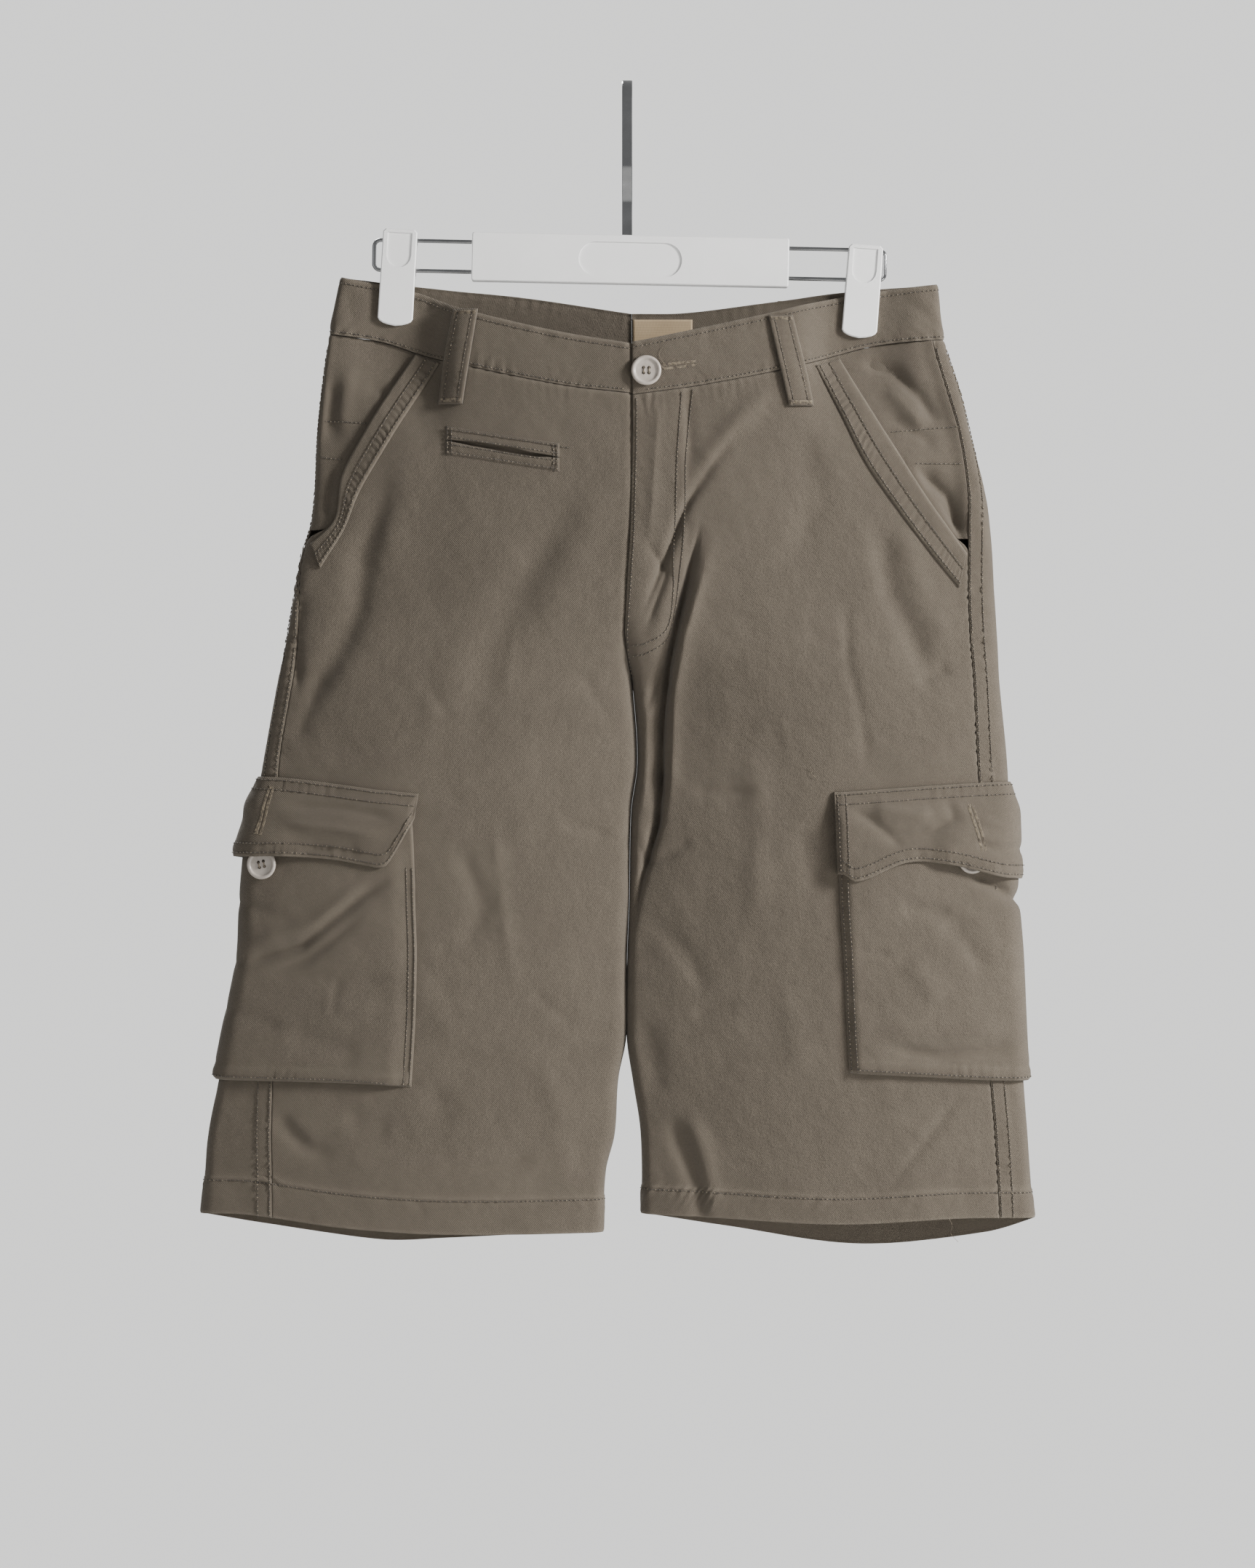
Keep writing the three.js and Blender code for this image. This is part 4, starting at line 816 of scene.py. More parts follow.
def twill_material(dark, middle, light):
    """Washed cotton twill: fine slanting ribs, mottled dye, and pale wear where the cloth stands up."""
    material, shader, shade = new_material(
        "twill", Sheen_Weight=0.08, Sheen_Roughness=0.6, Specular_IOR_Level=0.3
    )
    place, u, v = woven_places(shade)
    wobble = shade.noise(place, 260.0, 2.0)
    ribs = ((u * 4300.0 + v * 5600.0) + wobble * 4.0).sine() * 0.5 + 0.5
    cross = ((u * 7600.0 - v * 3300.0) + wobble * 4.0).sine() * 0.5 + 0.5
    slub = shade.noise(place, 900.0, 3.0, 0.65)
    broad = shade.noise(place, 22.0, 3.0, 0.55)
    patch = shade.noise(place, 85.0, 4.0, 0.6)
    wear = shade.node("ShaderNodeAttribute", {"attribute_name": "wear"}, output="Fac")
    fade = ((broad - 0.5) * 0.6 + (patch - 0.5) * 0.4 + 0.62).held()
    base = shade.blend(fade, dark, middle)
    worn = (wear * (0.05 + patch * 0.5)).held()
    base = shade.blend(worn, base, light)
    thread = (ribs * 0.25 + ((slub - 0.5) * 2.0 + 0.5) * 0.65 + cross * 0.1).held()
    base = shade.blend(0.02 + 0.52 * (1 - thread), base, dark, "MULTIPLY")
    fine = ribs * 0.55 + cross * 0.2 + slub * 1.3
    small = shade.noise(place, 130.0, 5.0, 0.62)
    crumple = 1 - (shade.noise(place, 48.0, 3.0, 0.6) * 2 - 1).absolute()
    paint(
        shader, shade,
        Base_Color=base,
        Roughness=0.78 + 0.16 * slub - 0.05 * worn,
        Normal=shade.bump(fine * 0.9 + small * 2.2 + crumple * 1.4, 0.8, 0.0005),
    )
    return material


def thread_material(name, dark, light):
    """Spun thread, mottled dark and light within the length of a stitch: the thread's own uneven tone, with
    its darkest part painted shade between stitches.
    """
    material, shader, shade = new_material(name, Sheen_Weight=0.2)
    place = shade.node("ShaderNodeTexCoord", output="Object")
    # Steep mottle of the thread: its darkest part is painted shade between stitches, the rest the thread's
    # own tone.
    tone = ((shade.noise(place, 520.0, 2.0) - 0.5) * 3.2 + 0.45).held()
    ply = shade.noise(place, 2600.0, 1.0)
    paint(
        shader, shade,
        Base_Color=shade.blend(tone, dark, light),
        Roughness=0.62 + 0.25 * ply,
        Normal=shade.bump(ply, 0.5, 0.0002),
    )
    return material


def label_material():
    material, shader, shade = new_material("label_weave", Sheen_Weight=0.25)
    place, u, v = woven_places(shade)
    picks = (v * 9000.0).sine() * 0.5 + 0.5
    ends = (u * 6000.0).sine() * 0.5 + 0.5
    soil = shade.noise(place, 60.0, 4.0)
    paint(
        shader, shade,
        Base_Color=shade.blend(
            (soil * 0.9 + picks * 0.25).held(), colour(136, 116, 88), colour(172, 152, 122)
        ),
        Roughness=0.7 + 0.2 * ends,
        Normal=shade.bump(picks + ends * 0.6, 0.5, 0.00015),
    )
    return material


def button_material():
    material, shader, shade = new_material("button_resin", Coat_Roughness=0.25, Coat_Weight=0.35)
    place = shade.node("ShaderNodeTexCoord", output="Object")
    veins = shade.noise(place, 220.0, 5.0, 0.6)
    specks = shade.noise(place, 900.0, 2.0)
    paint(
        shader, shade,
        Base_Color=shade.blend(veins, colour(140, 131, 122), colour(188, 180, 172)),
        Roughness=0.32 + 0.2 * specks,
        Normal=shade.bump(veins, 0.15, 0.0002),
    )
    return material


def plastic_material():
    material, shader, shade = new_material("white_plastic", Coat_Roughness=0.12, Coat_Weight=0.5)
    place = shade.node("ShaderNodeTexCoord", output="Object")
    cloud = shade.noise(place, 30.0, 3.0)
    grain = shade.noise(place, 1400.0, 2.0)
    paint(
        shader, shade,
        Base_Color=shade.blend(cloud, colour(240, 240, 240), colour(250, 250, 250)),
        Roughness=0.24 + 0.12 * grain,
        Normal=shade.bump(cloud + 0.1 * grain, 0.12, 0.0004),
    )
    return material


def chrome_material():
    material, shader, shade = new_material("bright_steel", Metallic=1.0)
    place = shade.node("ShaderNodeTexCoord", output="Object")
    haze = shade.noise(place, 60.0, 3.0)
    scratch = shade.noise(place, 1800.0, 2.0)
    paint(
        shader, shade,
        Base_Color=shade.blend(haze, colour(118, 119, 121), colour(168, 169, 171)),
        Roughness=0.13 + 0.12 * haze,
        Normal=shade.bump(scratch, 0.08, 0.0001),
    )
    return material


def stage_material(name, tone):
    material, shader, shade = new_material(name)
    place = shade.node("ShaderNodeTexCoord", output="Object")
    cloud = shade.noise(place, 3.0, 3.0)
    paint(
        shader, shade,
        Base_Color=shade.blend(cloud, colour(*[c - 3 for c in tone]), colour(*tone)),
        Roughness=0.82 + 0.1 * cloud,
    )
    return material


def stitch_tree():
    """The stitcher: threads that repeat along routes, set by its named inputs."""
    tree = bpy.data.node_groups.new("Stitches", "GeometryNodeTree")
    add = tree.interface.new_socket
    add(name="Routes", in_out="INPUT", socket_type="NodeSocketGeometry")
    for name, start in (("Pitch", 0.003), ("Stitch length", 0.0023), ("Thread width", 0.0007)):
        add(name=name, in_out="INPUT", socket_type="NodeSocketFloat").default_value = start
    add(name="Thread", in_out="INPUT", socket_type="NodeSocketMaterial")
    add(name="Stitches", in_out="OUTPUT", socket_type="NodeSocketGeometry")
    node, link = tree.nodes.new, tree.links.new
    given, out = node("NodeGroupInput"), node("NodeGroupOutput")
    curve, points = node("GeometryNodeMeshToCurve"), node("GeometryNodeCurveToPoints")
    points.mode = "LENGTH"
    bead = node("GeometryNodeMeshIcoSphere")
    bead.inputs["Radius"].default_value = 0.5
    bead.inputs["Subdivisions"].default_value = 1
    size, stretch = node("ShaderNodeCombineXYZ"), node("GeometryNodeTransform")
    place, real = node("GeometryNodeInstanceOnPoints"), node("GeometryNodeRealizeInstances")
    dress = node("GeometryNodeSetMaterial")
    link(given.outputs["Routes"], curve.inputs["Mesh"])
    link(curve.outputs["Curve"], points.inputs["Curve"])
    link(given.outputs["Pitch"], points.inputs["Length"])
    link(given.outputs["Thread width"], size.inputs[0])
    link(given.outputs["Thread width"], size.inputs[1])
    link(given.outputs["Stitch length"], size.inputs[2])
    link(bead.outputs["Mesh"], stretch.inputs["Geometry"])
    link(size.outputs[0], stretch.inputs["Scale"])
    link(points.outputs["Points"], place.inputs["Points"])
    link(stretch.outputs["Geometry"], place.inputs["Instance"])
    link(points.outputs["Rotation"], place.inputs["Rotation"])
    link(place.outputs["Instances"], real.inputs["Geometry"])
    link(real.outputs["Geometry"], dress.inputs["Geometry"])
    link(given.outputs["Thread"], dress.inputs["Material"])
    link(dress.outputs["Geometry"], out.inputs["Stitches"])
    return tree


def sew(name, routes, pitch=3.0, length=2.3, width=0.75, kind="thread"):
    """Stitches along routes of points in millimetres, as one plain mesh."""
    vertices, edges = [], []
    for route in routes:
        start = len(vertices)
        vertices.extend((np.asarray(route) * MM).tolist())
        edges.extend((start + i, start + i + 1) for i in range(len(route) - 1))
    mesh = bpy.data.meshes.new(name + "_routes")
    mesh.from_pydata(vertices, edges, [])
    guide = placed(name + "_routes", mesh)
    tree = bpy.data.node_groups.get("Stitches") or stitch_tree()
    modifier = guide.modifiers.new("Stitches", "NODES")
    modifier.node_group = tree
    values = {"Pitch": pitch * MM, "Stitch length": length * MM, "Thread width": width * MM}
    values["Thread"] = made_material(kind)
    for item in tree.interface.items_tree:
        if item.in_out == "INPUT" and item.name in values:
            modifier[item.identifier] = values[item.name]
    seen = guide.evaluated_get(bpy.context.evaluated_depsgraph_get())
    sewn = bpy.data.meshes.new_from_object(seen)
    guide.modifiers.clear()
    bpy.data.objects.remove(guide)
    bpy.data.meshes.remove(mesh)
    sewn.name = name
    smooth(sewn)
    made = placed(name, sewn)
    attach(made, "root")


MATERIALS = {
    "twill": lambda: twill_material(colour(82, 74, 64), colour(109, 100, 88), colour(146, 136, 121)),
    # The sewing thread's dark end is painted shade between stitches; its light end is the thread itself.
    "thread": lambda: thread_material("thread_with_painted_shade", colour(66, 56, 45), colour(134, 122, 102)),
    # Near-black beads laid along every stitch row: painted shade of the needle holes and the dips between
    # stitches.
    "holes": lambda: thread_material("painted_stitch_shade", colour(30, 25, 20), colour(52, 44, 36)),
    "label": label_material,
    "button": button_material,
    "plastic": plastic_material,
    "chrome": chrome_material,
}
MADE = {}


def made_material(kind):
    """A material by its kind, made once."""
    if kind not in MADE:
        MADE[kind] = MATERIALS[kind]()
    return MADE[kind]


def seam_hem(side, length, rise):
    """The turned-up hem: doubled cloth below its stitching, which twists the cloth in slanting ropes."""
    tall = HEM_TALL[side]
    step = 0.8 * (1.0 - soft((rise - tall + 1.2) / 2.4))
    dent = -0.5 * bell(rise - tall + 2.2, 1.4)
    twist = roping(length + 0.7 * rise, rise - tall + 5.0, 7.0, 6.5, 0.4, 6.0)
    return step + dent + twist + rolled(rise, 0.5, 0.9)


def hem_wear(side, rise):
    """Pale wear along the folded edge and along the top of the hem."""
    return 0.9 * bell(rise, 1.6) + 0.35 * bell(rise - HEM_TALL[side], 2.5)


def welt_share(x):
    """How far along the welted coin pocket a place lies, from 0 at its left end to 1 at its right."""
    return (x - COIN["left"]) / (COIN["right"] - COIN["left"])


def welt_top(x):
    """The height of the coin pocket's upper border."""
    return mix(COIN["top_left"], COIN["top_right"], welt_share(x))


def front_finish(side, length, z):
    """Lift and wear of a front: its seams, fly, hem and puckers."""
    below_waist = edge_height(WAIST_SEAM, side, length) - GAP - z
    rise = z - edge_height(HEM, side, length)
    from_side = length - front_start(side, z)
    from_middle = cloth_length(side, "front", z) - length
    seamed = soft((SLANT_END[side] - z) / 10.0)
    lap = UNDERLAP * body_share(z) if side == "left" else 0.0
    lift = rolled(below_waist) + rolled(from_side, 0.2, 0.8) + rolled(from_middle + lap, 0.5) * body_share(z)
    lift += tucked(side, z, length, 1.5)
    lift += roping(length, below_waist, 12.0, 6.0, 0.26, 2.0)
    lift += seamed * roping(z, from_side, 7.0, 6.4, 0.5, 4.0) + seam_hem(side, length, rise)
    wear = 0.6 * bell(below_waist, 2.4) + hem_wear(side, rise)
    wear += 0.3 * seamed * bell(from_side, 2.6)
    x = face_point(side, length, z)[..., 0]
    if side == "left":
        share = welt_share(x)
        slit = welt_top(x) - COIN["tall"] / 2
        lift -= 2.0 * soft(share / 0.1) * soft((1.0 - share) / 0.1) * bell(z - slit, 3.0)
    if side == "right":
        down = soft((z - FLY_BOTTOM) / 12.0)
        lift += FLY_PROUD * soft((FLY_WIDTH + 3.0 - (x - 3.0)) / 5.0) * down
        lift += down * roping(z, from_middle, 5.0, 7.5, 0.2, 9.0)
        wear += 0.55 * down * bell(from_middle, 1.8)
    return lift, wear


def back_finish(side, length, z):
    """Lift and wear of a back: its seams, the felled side seam, the seat seam and the hem."""
    below_waist = edge_height(WAIST_SEAM, side, length) - GAP - z
    rise = z - edge_height(HEM, side, length)
    from_side = seam_length(side, z) - length
    from_middle = cloth_length(side, "back", z) + length
    felled = 0.35 * soft((11.5 - from_side) / 2.2)
    lift = rolled(below_waist) + rolled(from_side, 0.15, 0.6)
    lift = lift + rolled(from_middle, 0.5) * body_share(z) + felled
    lift += roping(length, below_waist, 12.0, 6.0, 0.3, 12.0)
    lift += roping(z, from_side - 6.0, 6.0, 5.2, 0.7, 14.0) + seam_hem(side, length, rise)
    lift += 0.5 * soft((9.5 - from_middle) / 1.4) * soft((z - SEAT_FELL_END) / 20.0)
    wear = 0.6 * bell(below_waist, 2.4) + hem_wear(side, rise)
    wear += 0.5 * bell(from_side, 1.6) + 0.3 * bell(from_side - 11.0, 1.8)
    return lift, wear


def below_waistband(side):
    """The upper border of the cloth under the waistband, by the length along it."""
    return lambda length: edge_height(WAIST_SEAM, side, length) - GAP


def front_reach(side, z):
    """How far a front runs past the middle line: under the other one on the left, up to it else."""
    return (UNDERLAP * body_share(z) if side == "left" else 0.0) - 0.05


def front_panel(side):
    across = spaced(212.0, 2.5)
    if side == "right":
        across = np.unique(np.round(np.concatenate([across, np.linspace(0.78, 0.96, 40)]), 4))
    length, z = settle(
        across, spaced(588.0, 2.5, HEM_TALL[side]),
        lambda z: front_start(side, z) + GAP / 2,
        lambda z: cloth_length(side, "front", z) + front_reach(side, z),
        below_waistband(side),
        lambda length: edge_height(HEM, side, length),
    )
    lift, wear = front_finish(side, length, z)
    cloth_piece("front_" + side, side, length, z, lift, PANEL_WALL, wear, "waistband_" + side)


def back_panel(side):
    length, z = settle(
        spaced(262.0, 2.7), spaced(588.0, 2.6, HEM_TALL[side]),
        lambda z: seam_length(side, z) - GAP / 2,
        lambda z: 0.05 - cloth_length(side, "back", z),
        below_waistband(side),
        lambda length: edge_height(HEM, side, length),
    )
    lift, wear = back_finish(side, length, z)
    cloth_piece("back_" + side, side, length, z, lift, PANEL_WALL, wear, "waistband_" + side)


def pocket_facing(side):
    end = length_at(side, "front", slant_out(side, HEIGHTS) - FACING_TUCK, HEIGHTS)
    length, z = settle(
        spaced(70.0, 2.2), spaced(125.0, 2.2),
        lambda z: seam_length(side, z) + GAP / 2,
        lambda z: np.maximum(np.interp(z, HEIGHTS, end), seam_length(side, z) + 3.0),
        below_waistband(side),
        lambda length: np.full(np.shape(length), SLANT_END[side] + 10.0),
    )
    open_cloth = soft((front_start(side, z) - length - 1.0) / 7.0)
    below_waist = edge_height(WAIST_SEAM, side, length) - z
    lift = facing_lift(side, length, z)[0]
    lift += roping(length, below_waist, 8.0, 6.8, 0.3, 3.0) * open_cloth
    wear = 0.4 * bell(below_waist, 2.4)
    cloth_piece("pocket_facing_" + side, side, length, z, lift, PANEL_WALL, wear, "back_" + side)


def pocket_band(side):
    down = np.linspace(0.0, 5.0, 130)
    across = np.linspace(0.0, 1.0, 15)
    row = read(SLANT[side], down[None, :])
    z = mix(row["mouth_z"], row["band_z"], across[:, None])
    out = mix(row["mouth"], row["band"], across[:, None])
    length = length_at(side, "front", out, z)
    along = np.broadcast_to(down * 31.0, z.shape)
    width = np.hypot(row["mouth"] - row["band"], row["mouth_z"] - row["band_z"])
    away = across[:, None] * width
    lift = GAP + STRIP_WALL + rolled(away, 0.5, 0.8) + rolled(width - away, 0.6, 0.8)
    lift = lift + roping(along, width * 0.70 - away, 4.4, 4.6, 0.45, 7.0)
    lift = lift - 0.35 * bell(away - 0.47 * width, 1.1)
    wear = 0.75 * bell(away, 2.0) + 0.65 * bell(width - away, 2.0)
    cloth_piece("pocket_band_" + side, side, length, z, lift, STRIP_WALL, wear, "front_" + side)


def band_finish(side, length, z):
    """Lift and wear of the waistband, whose right half rises over the fly and the left half."""
    above = z - edge_height(WAIST_SEAM, side, length)
    below = edge_height(BAND_TOP, side, length) - z
    x = face_point(side, length, z)[..., 0]
    near = np.where(length > 0, soft((length - 0.75 * cloth_length(side, "front", z)) / 40.0), 0.0)
    end = GAP + np.abs(cloth_length(side, "front", z) - length)
    lift = BAND_PROUD + rolled(above, 0.5, 0.9) + rolled(below, 0.9, 1.1)
    lift = lift + np.where(length > 0, tucked(side, z, length, 2.1), 0.0)
    if side == "right":
        lift = lift + near * FLY_PROUD + np.where(length > 0, rolled(end, 0.7, 0.8), 0.0)
    lift = lift + roping(length, above, 10.0, 8.0, 0.5, 11.0)
    lift = lift + roping(length, below - 4.0, 5.0, 9.0, 0.3, 13.0)
    lift = lift - 0.3 * bell(above - 1.9, 0.9) - 0.25 * bell(below - 3.9, 0.9)
    lift = lift + 0.8 * np.where(length > 0, crease_height(CREASES["band"], x, z), 0.0)
    wear = 0.8 * bell(below, 1.8) + 0.5 * bell(above, 1.6)
    return lift, wear


def waistband(side):
    length, z = settle(
        spaced(432.0, 2.4), spaced(40.0, 2.0),
        lambda z: cloth_length(side, "front", z) + front_reach(side, z),
        lambda z: 0.05 - cloth_length(side, "back", z),
        lambda length: edge_height(WAIST_SEAM, side, length),
        lambda length: edge_height(BAND_TOP, side, length),
    )
    lift, wear = band_finish(side, length, z)
    cloth_piece("waistband_" + side, side, length, z, lift, BAND_WALL, wear, "clip_" + side)


# How much further forward than the usual length a cargo pocket's front border lies at a height.
POCKET_FORWARD = {
    "left": ("z extra", [(-505, -8), (-530, -4), (-560, -0.5), (-600, 2.6), (-650, 11), (-690, 16)]),
    "right": ("z extra", [(-505, 4), (-600, 5.5), (-690, 5)]),
}
FLAP_FORWARD = {"left": 0.0, "right": 5.0}
# The width over which a cargo pocket rises behind its front border.
POCKET_SLOPE = {"left": 14.0, "right": 4.0}


def pocket_forward(side, length, z):
    """How far forward a cargo pocket's cloth is moved, most at its front border."""
    share = clamp((length - seam_length(side, POCKET_LEVEL)) / POCKET_FRONT, 0.0, 1.0)
    return read(POCKET_FORWARD[side], z)["extra"] * share


def pocket_height(side, length, z):
    """How far a cargo pocket stands off the leg: a gusset's step up, then the pocket's own face."""
    seam = seam_length(side, POCKET_LEVEL)
    bottom = read(POCKET_BOTTOM[side], length)["z"]
    front = seam + POCKET_FRONT + read(POCKET_FORWARD[side], z)["extra"] - length
    back = length - seam + POCKET_BACK
    low = z - bottom
    near = np.minimum(np.minimum(front, back), low)
    x = face_point(side, length, z)[..., 0]
    lift = 1.5 * GAP + 1.5 * soft(near / 1.6)
    lift = lift + 2.9 * soft(np.minimum(front - 2.6, near + 9.0) / POCKET_SLOPE[side])
    lift = lift + CARGO_GAIN * crease_height(CREASES["pocket_" + side], x, z) * soft((near - 2.0) / 8.0)
    lift = lift + 0.4 * (1.0 - soft((low - 8.0) / 1.6)) * soft((near - 1.0) / 2.0)
    lift = lift + roping(length, low - 6.0, 8.0, 6.5, 0.5, 15.0) * soft((near - 0.6) / 3.0)
    return lift, near, low, front


def cargo_pocket(side):
    seam = seam_length(side, POCKET_LEVEL)
    across, down = np.meshgrid(spaced(188.0, 2.4), spaced(180.0, 2.4), indexing="ij")
    length = mix(seam + POCKET_FRONT, seam - POCKET_BACK, across)
    z = mix(POCKET_TOP, read(POCKET_BOTTOM[side], length)["z"], down)
    length = length + pocket_forward(side, length, z)
    lift, near, low, front = pocket_height(side, length, z)
    wear = 0.35 * bell(near, 1.8) + 0.15 * bell(front - 3.6, 1.6)
    wear = wear + 0.3 * bell(low - 8.5, 1.8)
    cloth_piece(
        "cargo_pocket_" + side, side, length, z, lift, PANEL_WALL, wear, "front_" + side, "back_" + side
    )


BUTTONS = {
    "waist_button": ("right", 13.0, -200.0, BAND_PROUD + FLY_PROUD + GAP),
    "cargo_button_left": ("left", -248.0, -536.5, POCKET_PUFF + GAP),
    "cargo_button_right": ("right", 234.0, -532.5, POCKET_PUFF + GAP),
}


def flap_front(side):
    """The length along the cloth of a cargo flap's front end."""
    return seam_length(side, FLAP_LEVEL) + POCKET_FRONT + FLAP_OVERHANG + FLAP_FORWARD[side]


def flap_height(side, length, z):
    """How far a cargo flap stands off the leg: sewn down along its top, out over the pocket below."""
    edges = read(FLAP_EDGES[side], length)
    button = BUTTONS["cargo_button_" + side]
    x = face_point(side, length, z)[..., 0]
    near = np.where(length > 0, np.hypot(x - button[1], z - button[2]), 1e9)
    below, low = edges["top"] - z, z - edges["bottom"]
    drop = soft(below / FLAP_RISE)
    lift = FLAP_WALL + mix(2 * GAP, FLAP_LIFT + FLAP_BULGE * soft((34.0 - near) / 20.0), drop)
    lift = lift - 2.6 * drop * (1.0 - soft((flap_front(side) - length) / 5.0))
    creases = CARGO_GAIN * crease_height(CREASES["flap_" + side], x, z)
    lift = lift + creases * soft(below / 8.0) * soft(low / 6.0)
    lift = lift + rolled(below, 0.9, 1.2) + rolled(low, 1.0, 1.2) - 0.35 * bell(low - 2.6, 1.0)
    lift = lift + roping(length, low - 5.5, 4.2, 5.2, 0.7, 17.0)
    lift = lift + roping(length, below - 5.0, 4.2, 5.6, 0.6, 18.0)
    return lift, below, low


def cargo_flap(side):
    back = seam_length(side, FLAP_LEVEL) - POCKET_BACK - FLAP_OVERHANG
    across, down = np.meshgrid(spaced(194.0, 2.2), spaced(54.0, 1.8), indexing="ij")
    length = mix(flap_front(side), back, across)
    edges = read(FLAP_EDGES[side], length)
    z = mix(edges["top"], edges["bottom"], down)
    lift, below, low = flap_height(side, length, z)
    wear = 0.5 * bell(below, 1.6) + 0.6 * bell(low, 1.8)
    cloth_piece(
        "cargo_flap_" + side, side, length, z, lift, FLAP_WALL, wear,
        "cargo_pocket_" + side, "cargo_button_" + side,
    )


LOOPS = {
    "belt_loop_front_left": ("left", "front", (-110.0, -157.0), (-120.5, -222.0)),
    "belt_loop_front_right": ("right", "front", (104.5, -161.5), (118.5, -223.5)),
    "belt_loop_back_left": ("left", "back", (-96.0, -145.5), (-98.0, -205.0)),
    "belt_loop_back_middle": ("right", "back", (12.0, -159.0), (12.0, -220.0)),
    "belt_loop_back_right": ("right", "back", (112.0, -148.5), (115.0, -207.0)),
}
LOOP_THICK = 1.5
LOOP_BOW = 0.9


def loop_net(node, across, down):
    """A belt loop as a net: bowed off the waistband, with a groove under each of its stitch rows."""
    side, face, top, bottom = LOOPS[node]
    across, down = np.meshgrid(across, down, indexing="ij")
    x = mix(top[0], bottom[0], down) + (across - 0.5) * LOOP_WIDTH
    z = mix(top[1], bottom[1], down)
    length = length_at(side, face, SIGN[side] * x, z)
    edge = np.minimum(across, 1 - across) * LOOP_WIDTH
    lift = BAND_PROUD + 2 * GAP + LOOP_BOW * np.sin(np.pi * down) + LOOP_THICK
    lift = lift + rolled(edge, 0.5, 0.7) - 0.45 * bell(edge - 3.6, 0.8)
    lift = lift + roping(z, edge - 4.0, 5.0, 4.6, 0.34, 19.0)
    return side, length, z, lift, edge


def belt_loop(node):
    side, length, z, lift, edge = loop_net(node, spaced(LOOP_WIDTH + 4.0, 1.6), np.linspace(0, 1, 40))
    wear = 0.45 * bell(edge, 1.1)
    cloth_piece(node, side, length, z, lift, LOOP_THICK, wear, "waistband_" + side)


COIN_WALL = 0.7
COIN = {"left": -124.0, "right": -46.0, "top_left": -237.0, "top_right": -249.5, "tall": 19.5, "slit": 3.4}


def coin_lip(upper):
    across, down = np.meshgrid(np.linspace(0, 1, 48), np.linspace(0, 1, 10), indexing="ij")
    x = mix(COIN["left"], COIN["right"], across)
    top = mix(COIN["top_left"], COIN["top_right"], across)
    gape = np.sin(np.pi * across) ** 0.8 * (1.0 + 1.3 * ripple(x, x * 0, 13.0, 5.0, 31.0 if upper else 37.0))
    half = 0.5 * COIN["slit"] * gape + GAP
    middle = top - COIN["tall"] / 2 + 1.6 * np.sin(np.pi * across) * ripple(x, x * 0, 24.0, 5.0, 33.0)
    high, low = (top, middle + half) if upper else (middle - half, top - COIN["tall"])
    z = mix(high, low, down)
    length = length_at("left", "front", -x, z)
    edge = np.minimum(high - z, z - low)
    outside = high - z if upper else z - low
    ends = np.minimum(across, 1 - across) * (COIN["right"] - COIN["left"])
    flush = soft(np.minimum(outside, ends) / 4.5)
    lift = 0.1 + mix(0.0, COIN_WALL, flush) + roping(x, outside - 2.5, 4.0, 5.5, 0.2, 21.0)
    lift = lift + 0.35 * bell(edge - 2.0, 1.6) * (outside > COIN["tall"] / 4)
    wear = 0.3 * bell(edge, 1.0) * (outside > COIN["tall"] / 4)
    node = "coin_lip_upper" if upper else "coin_lip_lower"
    cloth_piece(node, "left", length, z, lift, COIN_WALL, wear, "front_left")


LABEL = {"left": 4.0, "right": 45.0, "top": -161.5, "bottom": -193.0}
LABEL_WALL = 0.8


def label_patch():
    across, down = np.meshgrid(np.linspace(0, 1, 30), np.linspace(0, 1, 24), indexing="ij")
    x = mix(LABEL["left"], LABEL["right"], across)
    z = mix(LABEL["top"], LABEL["bottom"], down)
    length = length_at("right", "back", x, z)
    lift = np.full(x.shape, -(BAND_WALL - BAND_PROUD) - GAP)
    outer = cloth_point("right", length, z, lift)
    inner = cloth_point("right", length, z, lift - LABEL_WALL)
    made = shell("woven_label", outer, inner, made_material("label"), length, z, np.zeros(x.shape))
    declare_cloth(made, "label", net_size((outer + inner) / 2))


def curved(points, step=3.0):
    """A soft curve through points, as closely spaced points."""
    points = np.array(points, float)
    travelled = np.concatenate([[0.0], np.cumsum(np.hypot(*np.diff(points, axis=0).T))])
    rows = [(t, x, z) for t, (x, z) in zip(travelled, points)]
    found = read(("t x z", rows), np.linspace(0, travelled[-1], max(3, int(travelled[-1] / step))))
    return found["x"], found["z"]


def on_cloth(side, length, z, finish, extra=0.3):
    """Points just above a finished piece of cloth."""
    return cloth_point(side, length, z, finish(side, length, z)[0] + extra)


def at_places(side, points, finish, step=3.0, extra=0.3):
    """A stitched route through points given as X and Z."""
    x, z = curved(points, step)
    return on_cloth(side, length_at(side, "front", SIGN[side] * x, z), z, finish, extra)


def facing_lift(side, length, z):
    """How deep a facing lies: flush at the side seam, under the slant band at its mouth."""
    x = face_point(side, length, z)[..., 0]
    open_cloth = soft((front_start(side, z) - length - 1.0) / 7.0)
    joined = 1.0 - soft((length - seam_length(side, z)) / 9.0)
    lift = FACING_DROP * (joined * open_cloth - 1.0)
    return (lift + FACING_GAIN * open_cloth * crease_height(CREASES["facing_" + side], x, z),)


def level_route(side, edges, first, last, rise, finish, extra=0.3):
    """A route at a fixed distance above an edge that runs across."""
    length = np.linspace(first, last, max(3, int(abs(first - last) / 2.5)))
    return on_cloth(side, length, edge_height(edges, side, length) + rise, finish, extra)


def upright_route(side, length_of, high, low, finish, extra=0.3):
    """A route down the cloth at a given distance from a seam."""
    z = np.linspace(high, low, int((high - low) / 2.5))
    return on_cloth(side, length_of(z), z, finish, extra)


